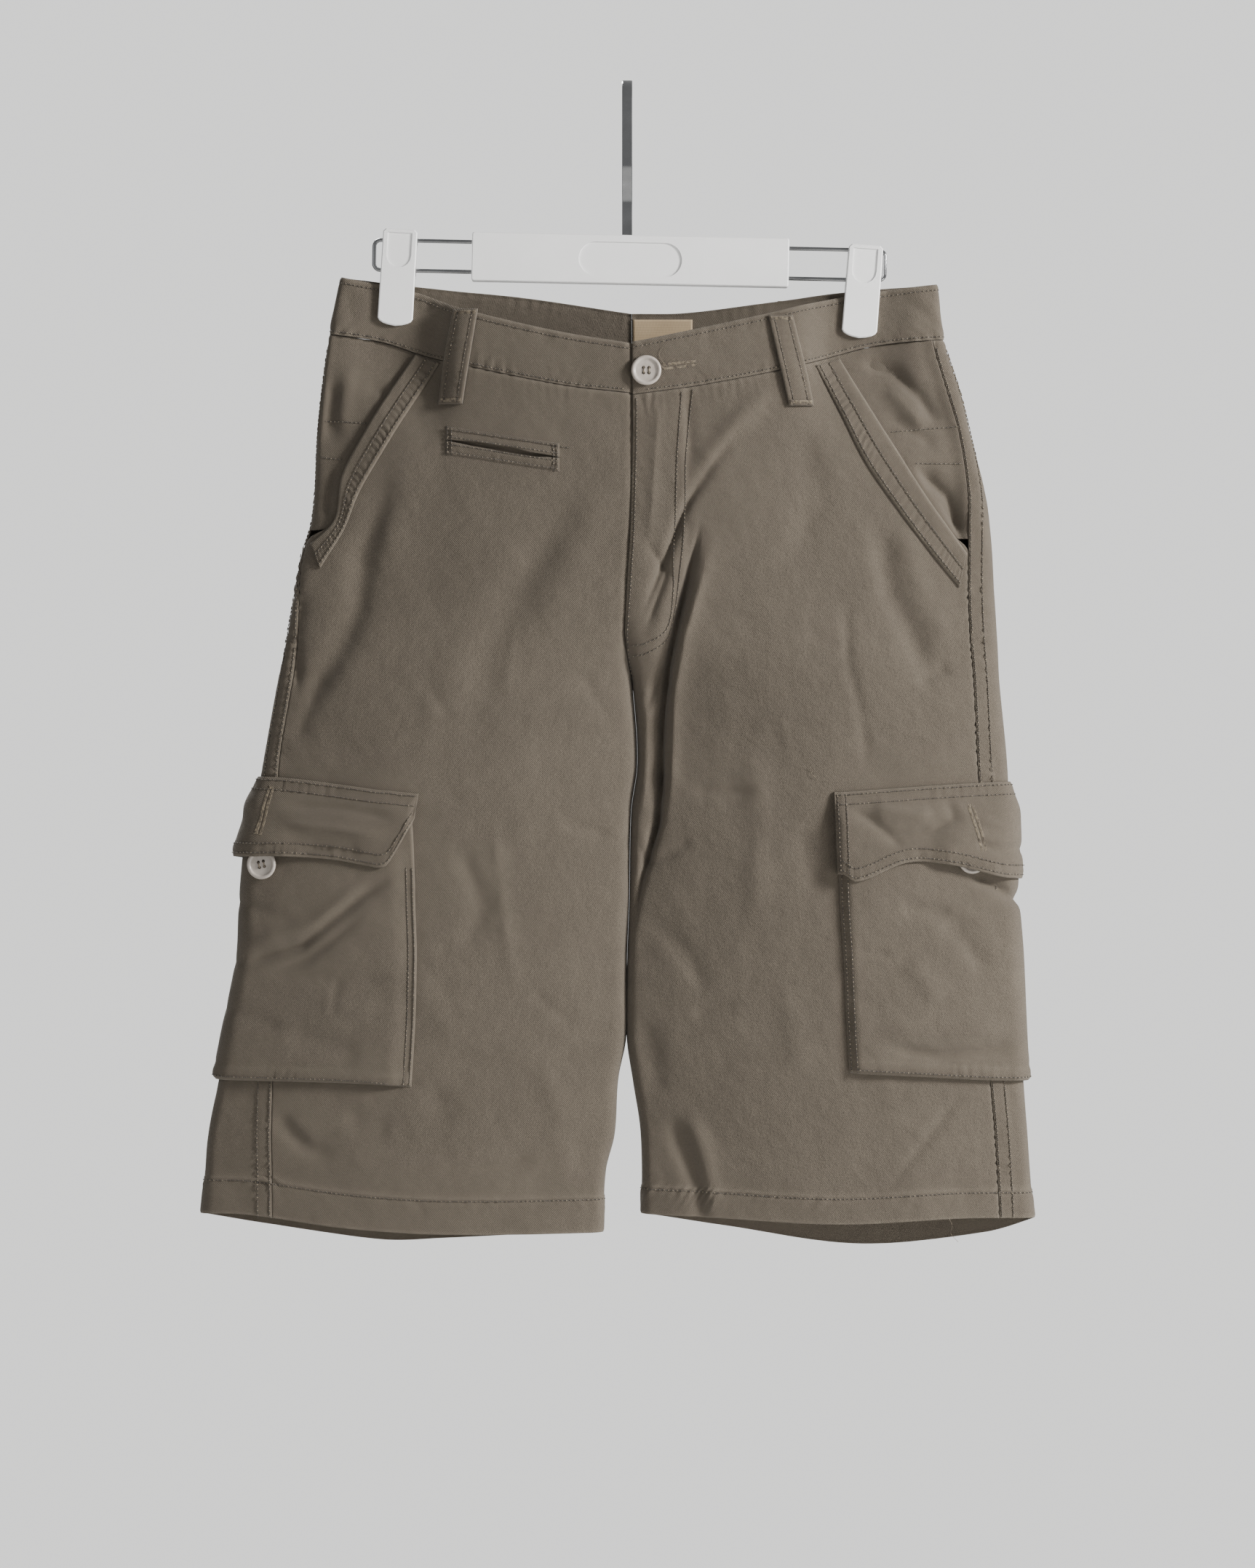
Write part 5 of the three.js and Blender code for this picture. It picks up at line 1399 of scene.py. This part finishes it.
def zigzag(side, start, end, finish, half=1.3, pitch=0.9):
    """The close stitching on one side of a buttonhole or over a tacked end."""
    start, end = np.array(start), np.array(end)
    count = int(np.linalg.norm(end - start) / (pitch / 2))
    share = np.linspace(0, 1, count)[:, None]
    way = (end - start) / np.linalg.norm(end - start)
    side_step = np.where(np.arange(count) % 2 == 0, half, -half)[:, None] * np.array([-way[1], way[0]])
    spots = mix(start, end, share) + side_step
    length = length_at(side, "front", SIGN[side] * spots[:, 0], spots[:, 1])
    return on_cloth(side, length, spots[:, 1], finish, 0.1)


def hole_routes(side, start, end, finish):
    """The stitching round a buttonhole: both sides and one end."""
    start, end = np.array(start), np.array(end)
    way = (end - start) / np.linalg.norm(end - start)
    across = np.array([-way[1], way[0]]) * 1.35
    rows = [zigzag(side, start + turn * across, end + turn * across, finish, 0.8) for turn in (-1, 1)]
    return rows + [zigzag(side, start - way - across, start - way + across, finish, 0.8)]


FLY_STITCHES = [
    [(44.5, -214), (40, -259), (39.5, -289.5), (37, -328), (28, -381.5), (14, -392), (4.5, -394)],
    [(37, -216), (34, -259), (33, -297.5), (31.5, -328), (31.5, -351), (27, -376), (14, -385), (4.5, -387)],
]
FACING_STITCHES = {
    "left": [[(-212, -232), (-180, -234)], [(-214, -257), (-197, -259)]],
    "right": [[(182, -240), (226, -236.5)], [(199, -262), (228, -262)]],
}
HOLES = {
    "waist": ("right", (24.5, -197.4), (46.5, -194.6)),
    "left": ("left", (-242.5, -485), (-249, -516)),
    "right": ("right", (233, -497), (241, -527)),
}


def seam_routes(side):
    """Stitching of one half: waistband, hem, side seam and middle seams."""
    front = cloth_length(side, "front", WAIST_LEVEL["front"]) - 3.0
    back = 3.0 - cloth_length(side, "back", WAIST_LEVEL["back"])
    leg_front = float(cloth_length(side, "front", HEM_LEVEL)) - 2.0
    leg_back = 2.0 - float(cloth_length(side, "back", HEM_LEVEL))
    leg_side, turned = seam_length(side, HEM_LEVEL), HEM_TALL[side] - 2.2
    seam_low = float(edge_height(HEM, side, seam_length(side, -780.0))) + 2.0
    seam = lambda away: lambda z: seam_length(side, z) - away
    routes = [
        level_route(side, WAIST_SEAM, front, back, 1.9, band_finish),
        level_route(side, BAND_TOP, front, back, -3.9, band_finish),
        level_route(side, HEM, leg_front, leg_side + 1.0, turned, front_finish),
        level_route(side, HEM, leg_side - 1.0, leg_back, turned, back_finish),
        upright_route(side, seam(1.5), SIDE_SEAM_TOP, seam_low, back_finish),
        upright_route(side, seam(9.8), SIDE_SEAM_TOP, seam_low, back_finish),
        upright_route(side, lambda z: 2.0 - cloth_length(side, "back", z), *SEAT_SEAM, back_finish),
        upright_route(side, lambda z: 8.0 - cloth_length(side, "back", z), *SEAT_SEAM, back_finish),
    ]
    if side == "right":
        middle = lambda away: lambda z: cloth_length(side, "front", z) - away
        routes.append(upright_route(side, middle(2.6), *FLY_SEAM, front_finish))
        routes += [at_places(side, points, front_finish) for points in FLY_STITCHES]
    return routes


def slant_routes(side):
    """Stitching of a slant pocket's band and of its facing."""
    down = np.linspace(0.05, 4.95, 70)
    row = read(SLANT[side], down)
    lift = lambda side, length, z: (np.full(np.shape(z), GAP + STRIP_WALL + 0.1),)
    routes = []
    for across in (0.88, 0.47):
        z = mix(row["mouth_z"], row["band_z"], across)
        length = length_at(side, "front", mix(row["mouth"], row["band"], across), z)
        routes.append(on_cloth(side, length, z, lift))
    routes += [at_places(side, points, facing_lift) for points in FACING_STITCHES[side]]
    return routes


def cargo_routes(side):
    """Stitching of a cargo flap and of the pocket under it."""
    first = flap_front(side) - 2.2
    last = seam_length(side, FLAP_LEVEL) - POCKET_BACK - FLAP_OVERHANG + 2.2
    length = np.linspace(first, last, 110)
    edges = read(FLAP_EDGES[side], length)
    routes = []
    for z in (edges["top"] - 2.0, edges["top"] - 8.6, edges["bottom"] + 2.6, edges["bottom"] + 9.0):
        keep = (z > edges["bottom"] + 1.5) & (z < edges["top"] - 1.0)
        routes.append(on_cloth(side, length[keep], z[keep], flap_height))
    if side == "right":
        for across in (first, first - 5.6):
            end = read(FLAP_EDGES[side], np.array(across))
            z = np.linspace(float(end["top"]) - 3.0, float(end["bottom"]) + 3.0, 24)
            routes.append(on_cloth(side, np.full(24, across), z, flap_height))
    seam = seam_length(side, POCKET_LEVEL)
    length = np.linspace(seam + POCKET_FRONT - 2, seam - POCKET_BACK + 2, 110)
    bottom = read(POCKET_BOTTOM[side], length)["z"]
    routes.append(on_cloth(side, length, bottom + 2.4, pocket_height))
    z = np.linspace(UNDER_FLAP, bottom[0] + 2.0, 60)
    ahead = seam + POCKET_FRONT + read(POCKET_FORWARD[side], z)["extra"]
    for away in (1.6, 5.6):
        routes.append(on_cloth(side, ahead - away, z, pocket_height))
    z = np.linspace(UNDER_FLAP, bottom[-1] + 2.0, 60)
    routes.append(on_cloth(side, np.full(60, seam - POCKET_BACK + 2.4), z, pocket_height))
    return routes


def loop_routes():
    """The two rows down each belt loop, and the tacks across its ends."""
    routes, tacks = [], []
    for node in LOOPS:
        share = 3.6 / LOOP_WIDTH
        side, length, z, lift, _ = loop_net(node, np.array([share, 1 - share]), np.linspace(0.03, 0.97, 30))
        routes += list(cloth_point(side, length, z, lift + 0.2))
        for start, end in ((0.02, 0.055), (0.945, 0.98)):
            down = np.linspace(start, end, 30)
            side, length, z, lift, _ = loop_net(node, np.linspace(0.1, 0.9, 30), down)
            route = cloth_point(side, length, z, lift + 0.1)
            tacks += [route[:, i] for i in (4, 14, 24)]
    return routes, tacks


def coin_routes():
    """Stitching along the coin pocket's lips and up its ends."""
    lift = lambda side, length, z: (np.full(np.shape(z), 0.2 + COIN_WALL),)
    x = np.linspace(COIN["left"] + 2, COIN["right"] - 2, 40)
    top = welt_top(x)
    middle = top - COIN["tall"] / 2
    routes = []
    for z in (top - 1.8, middle + 2.6, middle - 2.6, top - COIN["tall"] + 1.8):
        routes.append(on_cloth("left", length_at("left", "front", -x, z), z, lift))
    for x in (COIN["left"] + 1.5, COIN["left"] + 4.2, COIN["right"] - 1.5, COIN["right"] - 4.2):
        top = welt_top(x)
        ends = [(x, top - 1.8), (x, top - COIN["tall"] + 1.8)]
        routes.append(at_places("left", ends, lift))
    routes.append(at_places("left", [(-48.0, -251.5), (-40.5, -252.5)], front_finish))
    return routes


LOOSE_THREADS = [
    [(219.5, -778), (221.5, -783), (220.5, -788), (225.5, -794)],
    [(124.5, -470), (126.2, -472), (125.4, -474.5), (128.5, -477)],
    [(24, -184), (21.8, -189), (25.5, -195), (32, -192)],
]


def lathe(profile, turns, holes):
    """A turned disc, its four holes cut through, with its axis along Z."""
    shape = bmesh.new()
    rings = []
    for radius, height in profile:
        if radius == 0:
            rings.append([shape.verts.new((0, 0, height * MM))])
            continue
        angles = [2 * math.pi * i / turns for i in range(turns)]
        rings.append([
            shape.verts.new((radius * MM * math.cos(a), radius * MM * math.sin(a), height * MM))
            for a in angles
        ])
    for low, high in zip(rings, rings[1:]):
        for i in range(turns):
            j = (i + 1) % turns
            if len(low) == 1:
                shape.faces.new((low[0], high[j], high[i]))
            elif len(high) == 1:
                shape.faces.new((low[i], low[j], high[0]))
            else:
                shape.faces.new((low[i], low[j], high[j], high[i]))
    bmesh.ops.recalc_face_normals(shape, faces=shape.faces)
    mesh = bpy.data.meshes.new("turned")
    shape.to_mesh(mesh)
    shape.free()
    body = placed("turned", mesh)
    cutters = bmesh.new()
    for radius, ring in holes:
        for i in range(4):
            angle = math.pi * (0.25 + 0.5 * i)
            where = Matrix.Translation((ring * MM * math.cos(angle), ring * MM * math.sin(angle), 0))
            bmesh.ops.create_cone(
                cutters, cap_ends=True, segments=14, radius1=radius * MM, radius2=radius * MM,
                depth=20 * MM, matrix=where,
            )
    bore = bpy.data.meshes.new("bores")
    cutters.to_mesh(bore)
    cutters.free()
    cutter = placed("bores", bore)
    cut = body.modifiers.new("cut", "BOOLEAN")
    cut.operation, cut.solver, cut.object = "DIFFERENCE", "EXACT", cutter
    result = bpy.data.meshes.new_from_object(
        body.evaluated_get(bpy.context.evaluated_depsgraph_get())
    )
    body.modifiers.clear()
    for old in (body, cutter):
        bpy.data.objects.remove(old)
    for old in (mesh, bore):
        bpy.data.meshes.remove(old)
    return result


BUTTON_PROFILE = [
    (0, 0), (7.4, 0), (9.0, 0.15), (9.9, 0.7), (10.3, 1.5), (10.15, 2.3), (9.6, 2.85), (8.9, 3.0),
    (8.3, 2.85), (7.9, 2.4), (7.6, 2.0), (7.0, 1.8), (4.0, 1.72), (0, 1.7),
]


def sewn_button(name):
    """A four-hole button on the cloth, and the two threads that cross it."""
    side, x, z, lift = BUTTONS[name]
    length = length_at(side, "front", SIGN[side] * x, z)
    low = cloth_point(side, length, z, lift)
    out = Vector(cloth_point(side, length, z, lift + 1.0) - low).normalized()
    mesh = lathe(BUTTON_PROFILE, 48, [(1.1, 2.6)])
    turn = Vector((0, 0, 1)).rotation_difference(out).to_matrix().to_4x4()
    place = Matrix.Translation(Vector(low) * MM) @ turn
    mesh.transform(place)
    mesh.name = "sewn_" + name
    mesh.materials.clear()
    mesh.materials.append(made_material("button"))
    smooth(mesh, 38)
    stand_for(placed("sewn_" + name, mesh), name)
    lines = []
    for sign in (-1, 1):
        ends = [place @ (Vector((sign * 1.84, way * 1.84, 2.0)) * MM) / MM for way in (-1, 1)]
        lines.append(np.linspace(ends[0], ends[1], 8))
    return lines


def bent_steel(name, node, centres, section, broad):
    """A closed bar of bright steel with one section carried along a line, its broad way fixed."""
    run = np.gradient(centres, axis=0)
    run /= np.linalg.norm(run, axis=1, keepdims=True)
    first = np.tile(broad, (len(centres), 1))
    second = np.cross(run, first)
    section = np.asarray(section, float)
    points = (
        centres[:, None] + section[None, :, :1] * first[:, None] + section[None, :, 1:] * second[:, None]
    )
    steps, around = points.shape[:2]
    index = np.arange(steps * around).reshape(steps, around)
    after = np.roll(index, -1, axis=1)
    faces = np.stack([index[:-1], after[:-1], after[1:], index[1:]], -1).reshape(-1, 4).tolist()
    faces += [index[0].tolist()[::-1], index[-1].tolist()]
    mesh = closed_mesh(name, points.reshape(-1, 3), faces)
    smooth(mesh, 35)
    mesh.materials.append(made_material("chrome"))
    stand_for(placed(name, mesh), node)


BAR = {"length": 217.5, "height": 33.4, "x": 2.2, "z": -121.4, "tilt": 1.19}
WIRE = {"radius": 1.4, "spread": 10.3, "corner": 4.5}
WIRE_END = {"left": 176.1, "right": 174.9}
# The strap's bow over the rail, the height of that bow's middle, and where the strap bends back.
HOOK = {"radius": 15.6, "middle": -14.6, "bend": -56.0, "plane": -84.0}
STRAP_SECTION = [
    (-3.5, -0.55), (-3.05, -1), (3.05, -1), (3.5, -0.55), (3.5, 0.55), (3.05, 1), (-3.05, 1), (-3.5, 0.55),
]


def hanger_wire(side):
    """A wire leaves the bar's end, turns back at two rounded corners and returns below."""
    way = SIGN[side]
    start, end = way * (BAR["length"] / 2 + GAP), way * WIRE_END[side]
    spread, corner = WIRE["spread"], WIRE["corner"]
    line = [(x, spread) for x in np.linspace(start, end - way * corner, 12)[:-1]]
    for angle in np.linspace(90, -90, 25):
        turn = math.radians(angle)
        x = end - way * corner + way * corner * math.cos(turn)
        line.append((x, (spread - corner) * np.sign(angle) * (angle != 0) + corner * math.sin(turn)))
    line += [(x, -spread) for x in np.linspace(end - way * corner, start, 12)[1:]]
    line = np.array(line)
    tilt = math.radians(BAR["tilt"])
    x = line[:, 0] * math.cos(tilt) + line[:, 1] * math.sin(tilt) + BAR["x"]
    z = -line[:, 0] * math.sin(tilt) + line[:, 1] * math.cos(tilt) + BAR["z"]
    centres = np.stack([x, np.zeros(len(x)), z], -1)
    angles = np.linspace(0, 2 * np.pi, 16, endpoint=False)
    ring = WIRE["radius"] * np.stack([np.cos(angles), np.sin(angles)], -1)
    bent_steel("bent_wire_" + side, "wire_" + side, centres, ring, [0.0, 1.0, 0.0])


def hanger_hook():
    """A flat strap: over the rail, down in front of it, then back to the middle plane."""
    radius, middle, bend, plane = (HOOK[key] for key in ("radius", "middle", "bend", "plane"))
    line = [
        (radius * math.cos(math.radians(a)), middle + radius * math.sin(math.radians(a)))
        for a in np.linspace(-35, 180, 54)
    ]
    line += [(-radius, z) for z in np.linspace(middle, bend, 8)[1:]]
    line += [(-radius * (1 - soft(t)), mix(bend, plane, t)) for t in np.linspace(0, 1, 18)[1:]]
    line += [(0.0, z) for z in np.linspace(plane, BAR["z"] + BAR["height"] / 2 + GAP, 6)[1:]]
    line = np.array(line, float)
    centres = np.stack([np.zeros(len(line)), line[:, 0], line[:, 1]], -1)
    bent_steel("steel_hook", "hanger_hook", centres, STRAP_SECTION, [1.0, 0.0, 0.0])


DAYLIGHT = (1.0, 0.985, 0.96)
FLOOR_LEVEL = -1.3
CAMERA_AWAY = 2.6


def face_to(obj, place, target):
    """Put an object in its place and turn it to look at a target."""
    obj.location = place
    obj.rotation_euler = (Vector(target) - Vector(place)).to_track_quat("-Z", "Y").to_euler()


def area_light(name, place, target, size, power, tone):
    data = bpy.data.lights.new(name, "AREA")
    data.shape, data.size, data.energy, data.color = "DISK", size, power, tone
    face_to(placed(name, data), place, target)


def lamp_power(name, where, watts):
    """A setting for the power of one lamp."""
    return bpy.props.FloatProperty(
        name=name, description="Power of the " + where, default=watts, min=0.0, unit="POWER"
    )


def brightness(name, of_what, level):
    """A setting for a strength of light."""
    return bpy.props.FloatProperty(name=name, description=of_what, default=level, min=0.0, max=4.0)


class ShortsSettings(bpy.types.PropertyGroup):
    """What can be set in the sidebar: the thread's sizes and the light"""
    stitch_pitch: bpy.props.FloatProperty(
        name="Stitch pitch", description="Distance from one stitch to the next",
        default=0.003, min=0.0015, max=0.01, subtype="DISTANCE", unit="LENGTH",
    )
    stitch_width: bpy.props.FloatProperty(
        name="Thread width", description="Width of a sewn thread",
        default=0.00085, min=0.0003, max=0.002, subtype="DISTANCE", unit="LENGTH",
    )
    key_power: lamp_power("Key light", "soft light from the upper right", 150.0)
    low_power: lamp_power("Low light", "weak light on the right leg", 6.5)
    back_power: lamp_power("Back light", "high light behind the shorts", 110.0)
    fill_power: lamp_power("Fill light", "weak light from the left", 4.0)
    room_light: brightness("Room light", "Strength of the even light that the pale room sheds", 0.62)
    wall_light: brightness("Wall", "Brightness of the pale wall behind the shorts", 2.0)


def settings():
    return bpy.context.scene.shorts


class SHORTS_OT_panels(bpy.types.Operator):
    """Cut the fronts, the backs and the pocket facings, with their creases"""
    bl_idname = "shorts.panels"
    bl_label = "Fronts and backs"

    def execute(self, context):
        for side in SIDES:
            for make in (front_panel, back_panel, pocket_facing):
                make(side)
        return {"FINISHED"}


class SHORTS_OT_bands(bpy.types.Operator):
    """Lay the waistband and the bands of the slant pockets"""
    bl_idname = "shorts.bands"
    bl_label = "Waistband and pocket bands"

    def execute(self, context):
        for side in SIDES:
            waistband(side)
            pocket_band(side)
        return {"FINISHED"}


class SHORTS_OT_cargo(bpy.types.Operator):
    """Lay the cargo pockets and their flaps"""
    bl_idname = "shorts.cargo"
    bl_label = "Cargo pockets"

    def execute(self, context):
        for side in SIDES:
            cargo_pocket(side)
            cargo_flap(side)
        return {"FINISHED"}


class SHORTS_OT_trims(bpy.types.Operator):
    """Lay the belt loops, the coin pocket's lips and the woven label"""
    bl_idname = "shorts.trims"
    bl_label = "Loops, coin pocket and label"

    def execute(self, context):
        for node in LOOPS:
            belt_loop(node)
        for upper in (True, False):
            coin_lip(upper)
        label_patch()
        return {"FINISHED"}


class SHORTS_OT_buttons(bpy.types.Operator):
    """Turn the three buttons and sew them on"""
    bl_idname = "shorts.buttons"
    bl_label = "Buttons"

    def execute(self, context):
        lines = [line for name in BUTTONS for line in sewn_button(name)]
        sew("button_thread", lines, pitch=0.8, length=1.3, width=1.0)
        return {"FINISHED"}


class SHORTS_OT_stitching(bpy.types.Operator):
    """Sew every seam, hem, pocket and buttonhole"""
    bl_idname = "shorts.stitching"
    bl_label = "Stitching"

    def execute(self, context):
        pitch = settings().stitch_pitch / MM
        width = settings().stitch_width / MM
        rows, tacks = loop_routes()
        sewn = {"loops": rows + coin_routes()}
        for side in SIDES:
            sewn["seams_" + side] = seam_routes(side)
            sewn["pocket_" + side] = slant_routes(side) + cargo_routes(side)
        for name, routes in sewn.items():
            sew("stitches_" + name, routes, pitch, pitch * 0.62, width)
            # Dark beads along the same rows as each row of stitches: painted shade between the stitches.
            sew("holes_" + name, routes, pitch, pitch * 1.1, width * 0.92, "holes")
        sew("stitches_tacks", tacks, 0.8, 1.4, 0.8)
        finishes = {"waist": band_finish, "left": flap_height, "right": flap_height}
        holes = [
            route for name, (side, start, end) in HOLES.items()
            for route in hole_routes(side, start, end, finishes[name])
        ]
        sew("stitches_buttonholes", holes, 0.75, 1.3, 0.55)
        ends = [at_places("right", points, front_finish, 0.8, 1.2) for points in LOOSE_THREADS]
        sew("loose_threads", ends, 0.4, 0.9, 0.28)
        return {"FINISHED"}


class SHORTS_OT_hanger(bpy.types.Operator):
    """Bend the hook and the wires, and finish the bar and the clips"""
    bl_idname = "shorts.hanger"
    bl_label = "Hanger"

    def execute(self, context):
        for side in SIDES:
            hanger_wire(side)
        hanger_hook()
        plastic = made_material("plastic")
        for node in ("hanger_bar", "clip_left", "clip_right"):
            obj = bpy.data.objects[node]
            for place in obj.material_slots:
                place.material = plastic
        return {"FINISHED"}


class SHORTS_OT_stage(bpy.types.Operator):
    """Set up the floor, the even room light, the lamps and the camera of the photograph"""
    bl_idname = "shorts.stage"
    bl_label = "Stage"

    def execute(self, context):
        scene = context.scene
        mesh = bpy.data.meshes.new("floor")
        corners = [(-2.5, -2.5), (2.5, -2.5), (2.5, 0.9), (-2.5, 0.9)]
        mesh.from_pydata([(x, y, FLOOR_LEVEL) for x, y in corners], [], [(0, 1, 2, 3)])
        mesh.materials.append(stage_material("floor", (214, 214, 212)))
        placed("floor", mesh)
        world = bpy.data.worlds.new("room")
        world.use_nodes = True
        sky = world.node_tree.nodes["Background"]
        sky.inputs["Color"].default_value = colour(207, 207, 206)
        seen = world.node_tree.nodes.new("ShaderNodeLightPath")
        level = world.node_tree.nodes.new("ShaderNodeMix")
        level.inputs["A"].default_value = settings().room_light
        level.inputs["B"].default_value = settings().wall_light
        world.node_tree.links.new(seen.outputs["Is Camera Ray"], level.inputs["Factor"])
        world.node_tree.links.new(level.outputs["Result"], sky.inputs["Strength"])
        scene.world = world
        aim = (0.0, 0.0, -0.45)
        shin = (0.15, 0.0, -0.72)
        power = settings()
        area_light("key", (2.3, -1.1, 0.5), aim, 0.6, power.key_power, DAYLIGHT)
        area_light("low", (1.1, -0.8, -0.95), shin, 0.5, power.low_power, DAYLIGHT)
        area_light("back", (-0.9, 2.2, 1.7), aim, 1.0, power.back_power, (1.0, 0.99, 0.97))
        area_light("fill", (-1.7, -1.8, -0.2), aim, 1.6, power.fill_power, (0.95, 0.97, 1.0))
        data = bpy.data.cameras.new("camera")
        data.sensor_width, data.sensor_height, data.sensor_fit = 36.0, 45.0, "VERTICAL"
        data.lens = 45.0 * CAMERA_AWAY / 1.078
        camera = placed("camera", data)
        face_to(camera, (0.00025, -CAMERA_AWAY, -0.4815), (0.00025, 0.0, -0.4815))
        scene.camera = camera
        return {"FINISHED"}


OPERATORS = (
    SHORTS_OT_panels, SHORTS_OT_bands, SHORTS_OT_cargo, SHORTS_OT_trims, SHORTS_OT_buttons,
    SHORTS_OT_stitching, SHORTS_OT_hanger, SHORTS_OT_stage,
)


class SHORTS_PT_sidebar(bpy.types.Panel):
    """The steps that make the shorts, in order"""
    bl_idname = "SHORTS_PT_sidebar"
    bl_label = "Cargo shorts"
    bl_space_type = "VIEW_3D"
    bl_region_type = "UI"
    bl_category = "Shorts"

    def draw(self, context):
        for name in (
            "stitch_pitch", "stitch_width", "key_power", "low_power", "back_power", "fill_power",
            "room_light", "wall_light",
        ):
            self.layout.prop(context.scene.shorts, name)
        for operator in OPERATORS:
            self.layout.operator(operator.bl_idname)


CLASSES = (ShortsSettings, *OPERATORS, SHORTS_PT_sidebar)


def register():
    for kind in CLASSES:
        bpy.utils.register_class(kind)
    bpy.types.Scene.shorts = bpy.props.PointerProperty(type=ShortsSettings)


def unregister():
    del bpy.types.Scene.shorts
    for kind in reversed(CLASSES):
        bpy.utils.unregister_class(kind)


def main():
    register()
    bpy.ops.shorts.panels()
    bpy.ops.shorts.bands()
    bpy.ops.shorts.cargo()
    bpy.ops.shorts.trims()
    bpy.ops.shorts.buttons()
    bpy.ops.shorts.stitching()
    bpy.ops.shorts.hanger()
    bpy.ops.shorts.stage()


if __name__ == "__main__":
    main()
